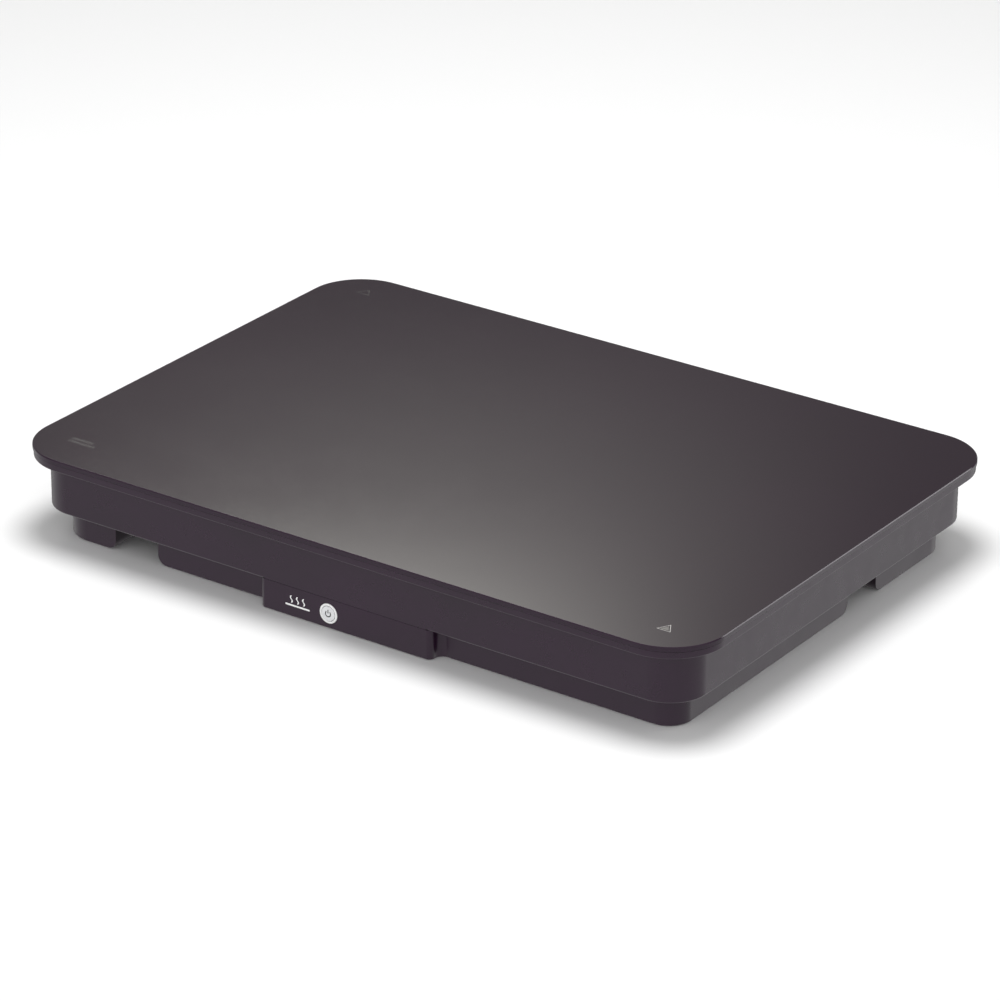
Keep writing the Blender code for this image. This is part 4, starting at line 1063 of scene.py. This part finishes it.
class Studio(Wiring):
    """The studio's walls, ceiling and light table as a world shader: brightness by direction."""

    def __init__(self):
        world = bpy.data.worlds.new("studio")
        bpy.context.scene.world = world
        world.use_nodes = True
        self.tree = world.node_tree
        self.tree.nodes.remove(self.tree.nodes["Background"])
        axes = self.node("ShaderNodeSeparateXYZ")
        self.link(self.node("ShaderNodeTexCoord").outputs["Generated"], axes.inputs[0])
        self.elevation = self.math("ARCSINE", axes.outputs["Z"])
        self.bearing = self.math("ARCTAN2", axes.outputs["X"], axes.outputs["Y"])
        self.total = None

    def math(self, operation, *values):
        made = self.node("ShaderNodeMath", operation=operation)
        for socket, value in zip(made.inputs, values):
            if isinstance(value, bpy.types.NodeSocket):
                self.link(value, socket)
            else:
                socket.default_value = value
        return made.outputs[0]

    def ramp(self, source, start, end, low=0.0, high=1.0):
        """low up to start, high from end on, smooth between; start and end in degrees."""
        made = self.node("ShaderNodeMapRange", interpolation_type="SMOOTHSTEP")
        self.link(source, made.inputs["Value"])
        for socket, value in (("From Min", math.radians(start)), ("From Max", math.radians(end)),
                              ("To Min", low), ("To Max", high)):
            made.inputs[socket].default_value = value
        return made.outputs["Result"]

    def height(self, start, end, low=0.0, high=1.0):
        return self.ramp(self.elevation, start, end, low, high)

    def band(self, start, full, still, end):
        """Rises with height from start to full, and falls from still to end."""
        return self.math("MULTIPLY", self.height(start, full), self.height(still, end, 1.0, 0.0))

    def around(self, middle, half, soft):
        """1 within half of a bearing (from +Y towards +X), falling to 0 over the soft edge."""
        turn = self.math("SUBTRACT", self.bearing, math.radians(middle))
        off = self.math("ABSOLUTE", self.math("WRAP", turn, math.pi, -math.pi))
        return self.ramp(off, half, half + soft, 1.0, 0.0)

    def add(self, brightness, tint, *masks):
        """Adds an area of the surroundings, as bright as its masks allow."""
        value = brightness
        for mask in masks:
            value = self.math("MULTIPLY", value, mask)
        part = self.node("ShaderNodeBackground")
        part.inputs["Color"].default_value = (*tint, 1)
        self.link(value, part.inputs["Strength"])
        if self.total:
            both = self.node("ShaderNodeAddShader")
            self.link(self.total, both.inputs[0])
            self.link(part.outputs[0], both.inputs[1])
            part = both
        self.total = part.outputs[0]

    def finish(self):
        """A white backdrop wherever the camera looks past the floor."""
        backdrop, mix = self.node("ShaderNodeBackground"), self.node("ShaderNodeMixShader")
        backdrop.inputs["Color"].default_value = (1, 1, 1, 1)
        self.link(self.node("ShaderNodeLightPath").outputs["Is Camera Ray"], mix.inputs[0])
        self.link(self.total, mix.inputs[1])
        self.link(backdrop.outputs[0], mix.inputs[2])
        self.link(mix.outputs[0], self.tree.nodes["World Output"].inputs["Surface"])


def make_light():
    """Soft boxes by direction, given by their brightness, tint and masks."""
    studio = Studio()
    white, warm = (1, 1, 1), (1, 1, 0.93)
    below = studio.height(-1, 1, 1.0, 0.0)
    # walls and ceiling
    studio.add(0.275, white, studio.height(-1, 1))
    studio.add(0.45, white, studio.height(30, 55))
    # from the camera's side, for the floor's shadow; and low in front, for the button
    studio.add(0.90, white, studio.band(2, 12, 35, 55), studio.around(150, 50, 35))
    studio.add(2.5, white, studio.band(-1, 0.5, 6, 9), studio.around(190, 30, 20))
    # opposite the camera, mirrored in the glass: a wide glow and its bright core
    studio.add(0.80, warm, studio.band(21.8, 26.3, 34, 50), studio.around(-36, 0, 7.8))
    studio.add(6.0, warm, studio.band(24.7, 28.7, 32, 38), studio.around(-39, 0.14, 7.6))
    # mirrored by the arris along the glass's right side
    studio.add(5.0, white, studio.band(20, 24, 29, 34), studio.around(28.5, 4, 8))
    # a light table under the floor: dim at the rear left, brighter at the rear right and straight down
    studio.add(0.18, white, below)
    studio.add(0.59, white, below, studio.around(145, 135, 35))
    studio.add(0.36, white, below, studio.around(26, 6, 14))
    studio.add(0.32, white, studio.height(-42, -32, 1.0, 0.0))
    studio.finish()


def make_lamp():
    """A round lamp overhead, which gives the shadow its soft edge."""
    data = bpy.data.lights.new("overhead", "AREA")
    data.shape = "DISK"
    data.size = 1.0
    data.energy = 31.0
    lamp = bpy.data.objects.new("overhead", data)
    lamp.location = (0, 0, 2.0)
    lamp.visible_glossy = False
    bpy.context.scene.collection.objects.link(lamp)


def make_camera():
    """The photo's camera: its bearing and height seen from the object, and a slight roll."""
    azimuth, elevation, roll = (math.radians(a) for a in (34.734, 24.923, 0.409))
    back = Vector((math.sin(azimuth) * math.cos(elevation), -math.cos(azimuth) * math.cos(elevation),
                   math.sin(elevation)))
    right = (-back).cross(Vector((0, 0, 1))).normalized()
    up = right.cross(-back)
    turned_right = right * math.cos(roll) + up * math.sin(roll)
    turned_up = up * math.cos(roll) - right * math.sin(roll)
    data = bpy.data.cameras.new("camera")
    data.lens = 169.53
    data.sensor_width = 36.0
    camera = bpy.data.objects.new("camera", data)
    bpy.context.scene.collection.objects.link(camera)
    axes = Matrix((turned_right, turned_up, back)).transposed().to_4x4()
    camera.matrix_world = Matrix.Translation((1.808045, -2.612487, 1.50693)) @ axes
    bpy.context.scene.camera = camera


dress_nodes()
make_glass()
make_gasket()
make_housing()
make_base()
make_feet()
make_screws()
make_button()
make_inlet()
make_badge()
make_glass_marks()
make_floor()
make_light()
make_lamp()
make_camera()
bpy.context.scene.view_settings.view_transform = "Standard"
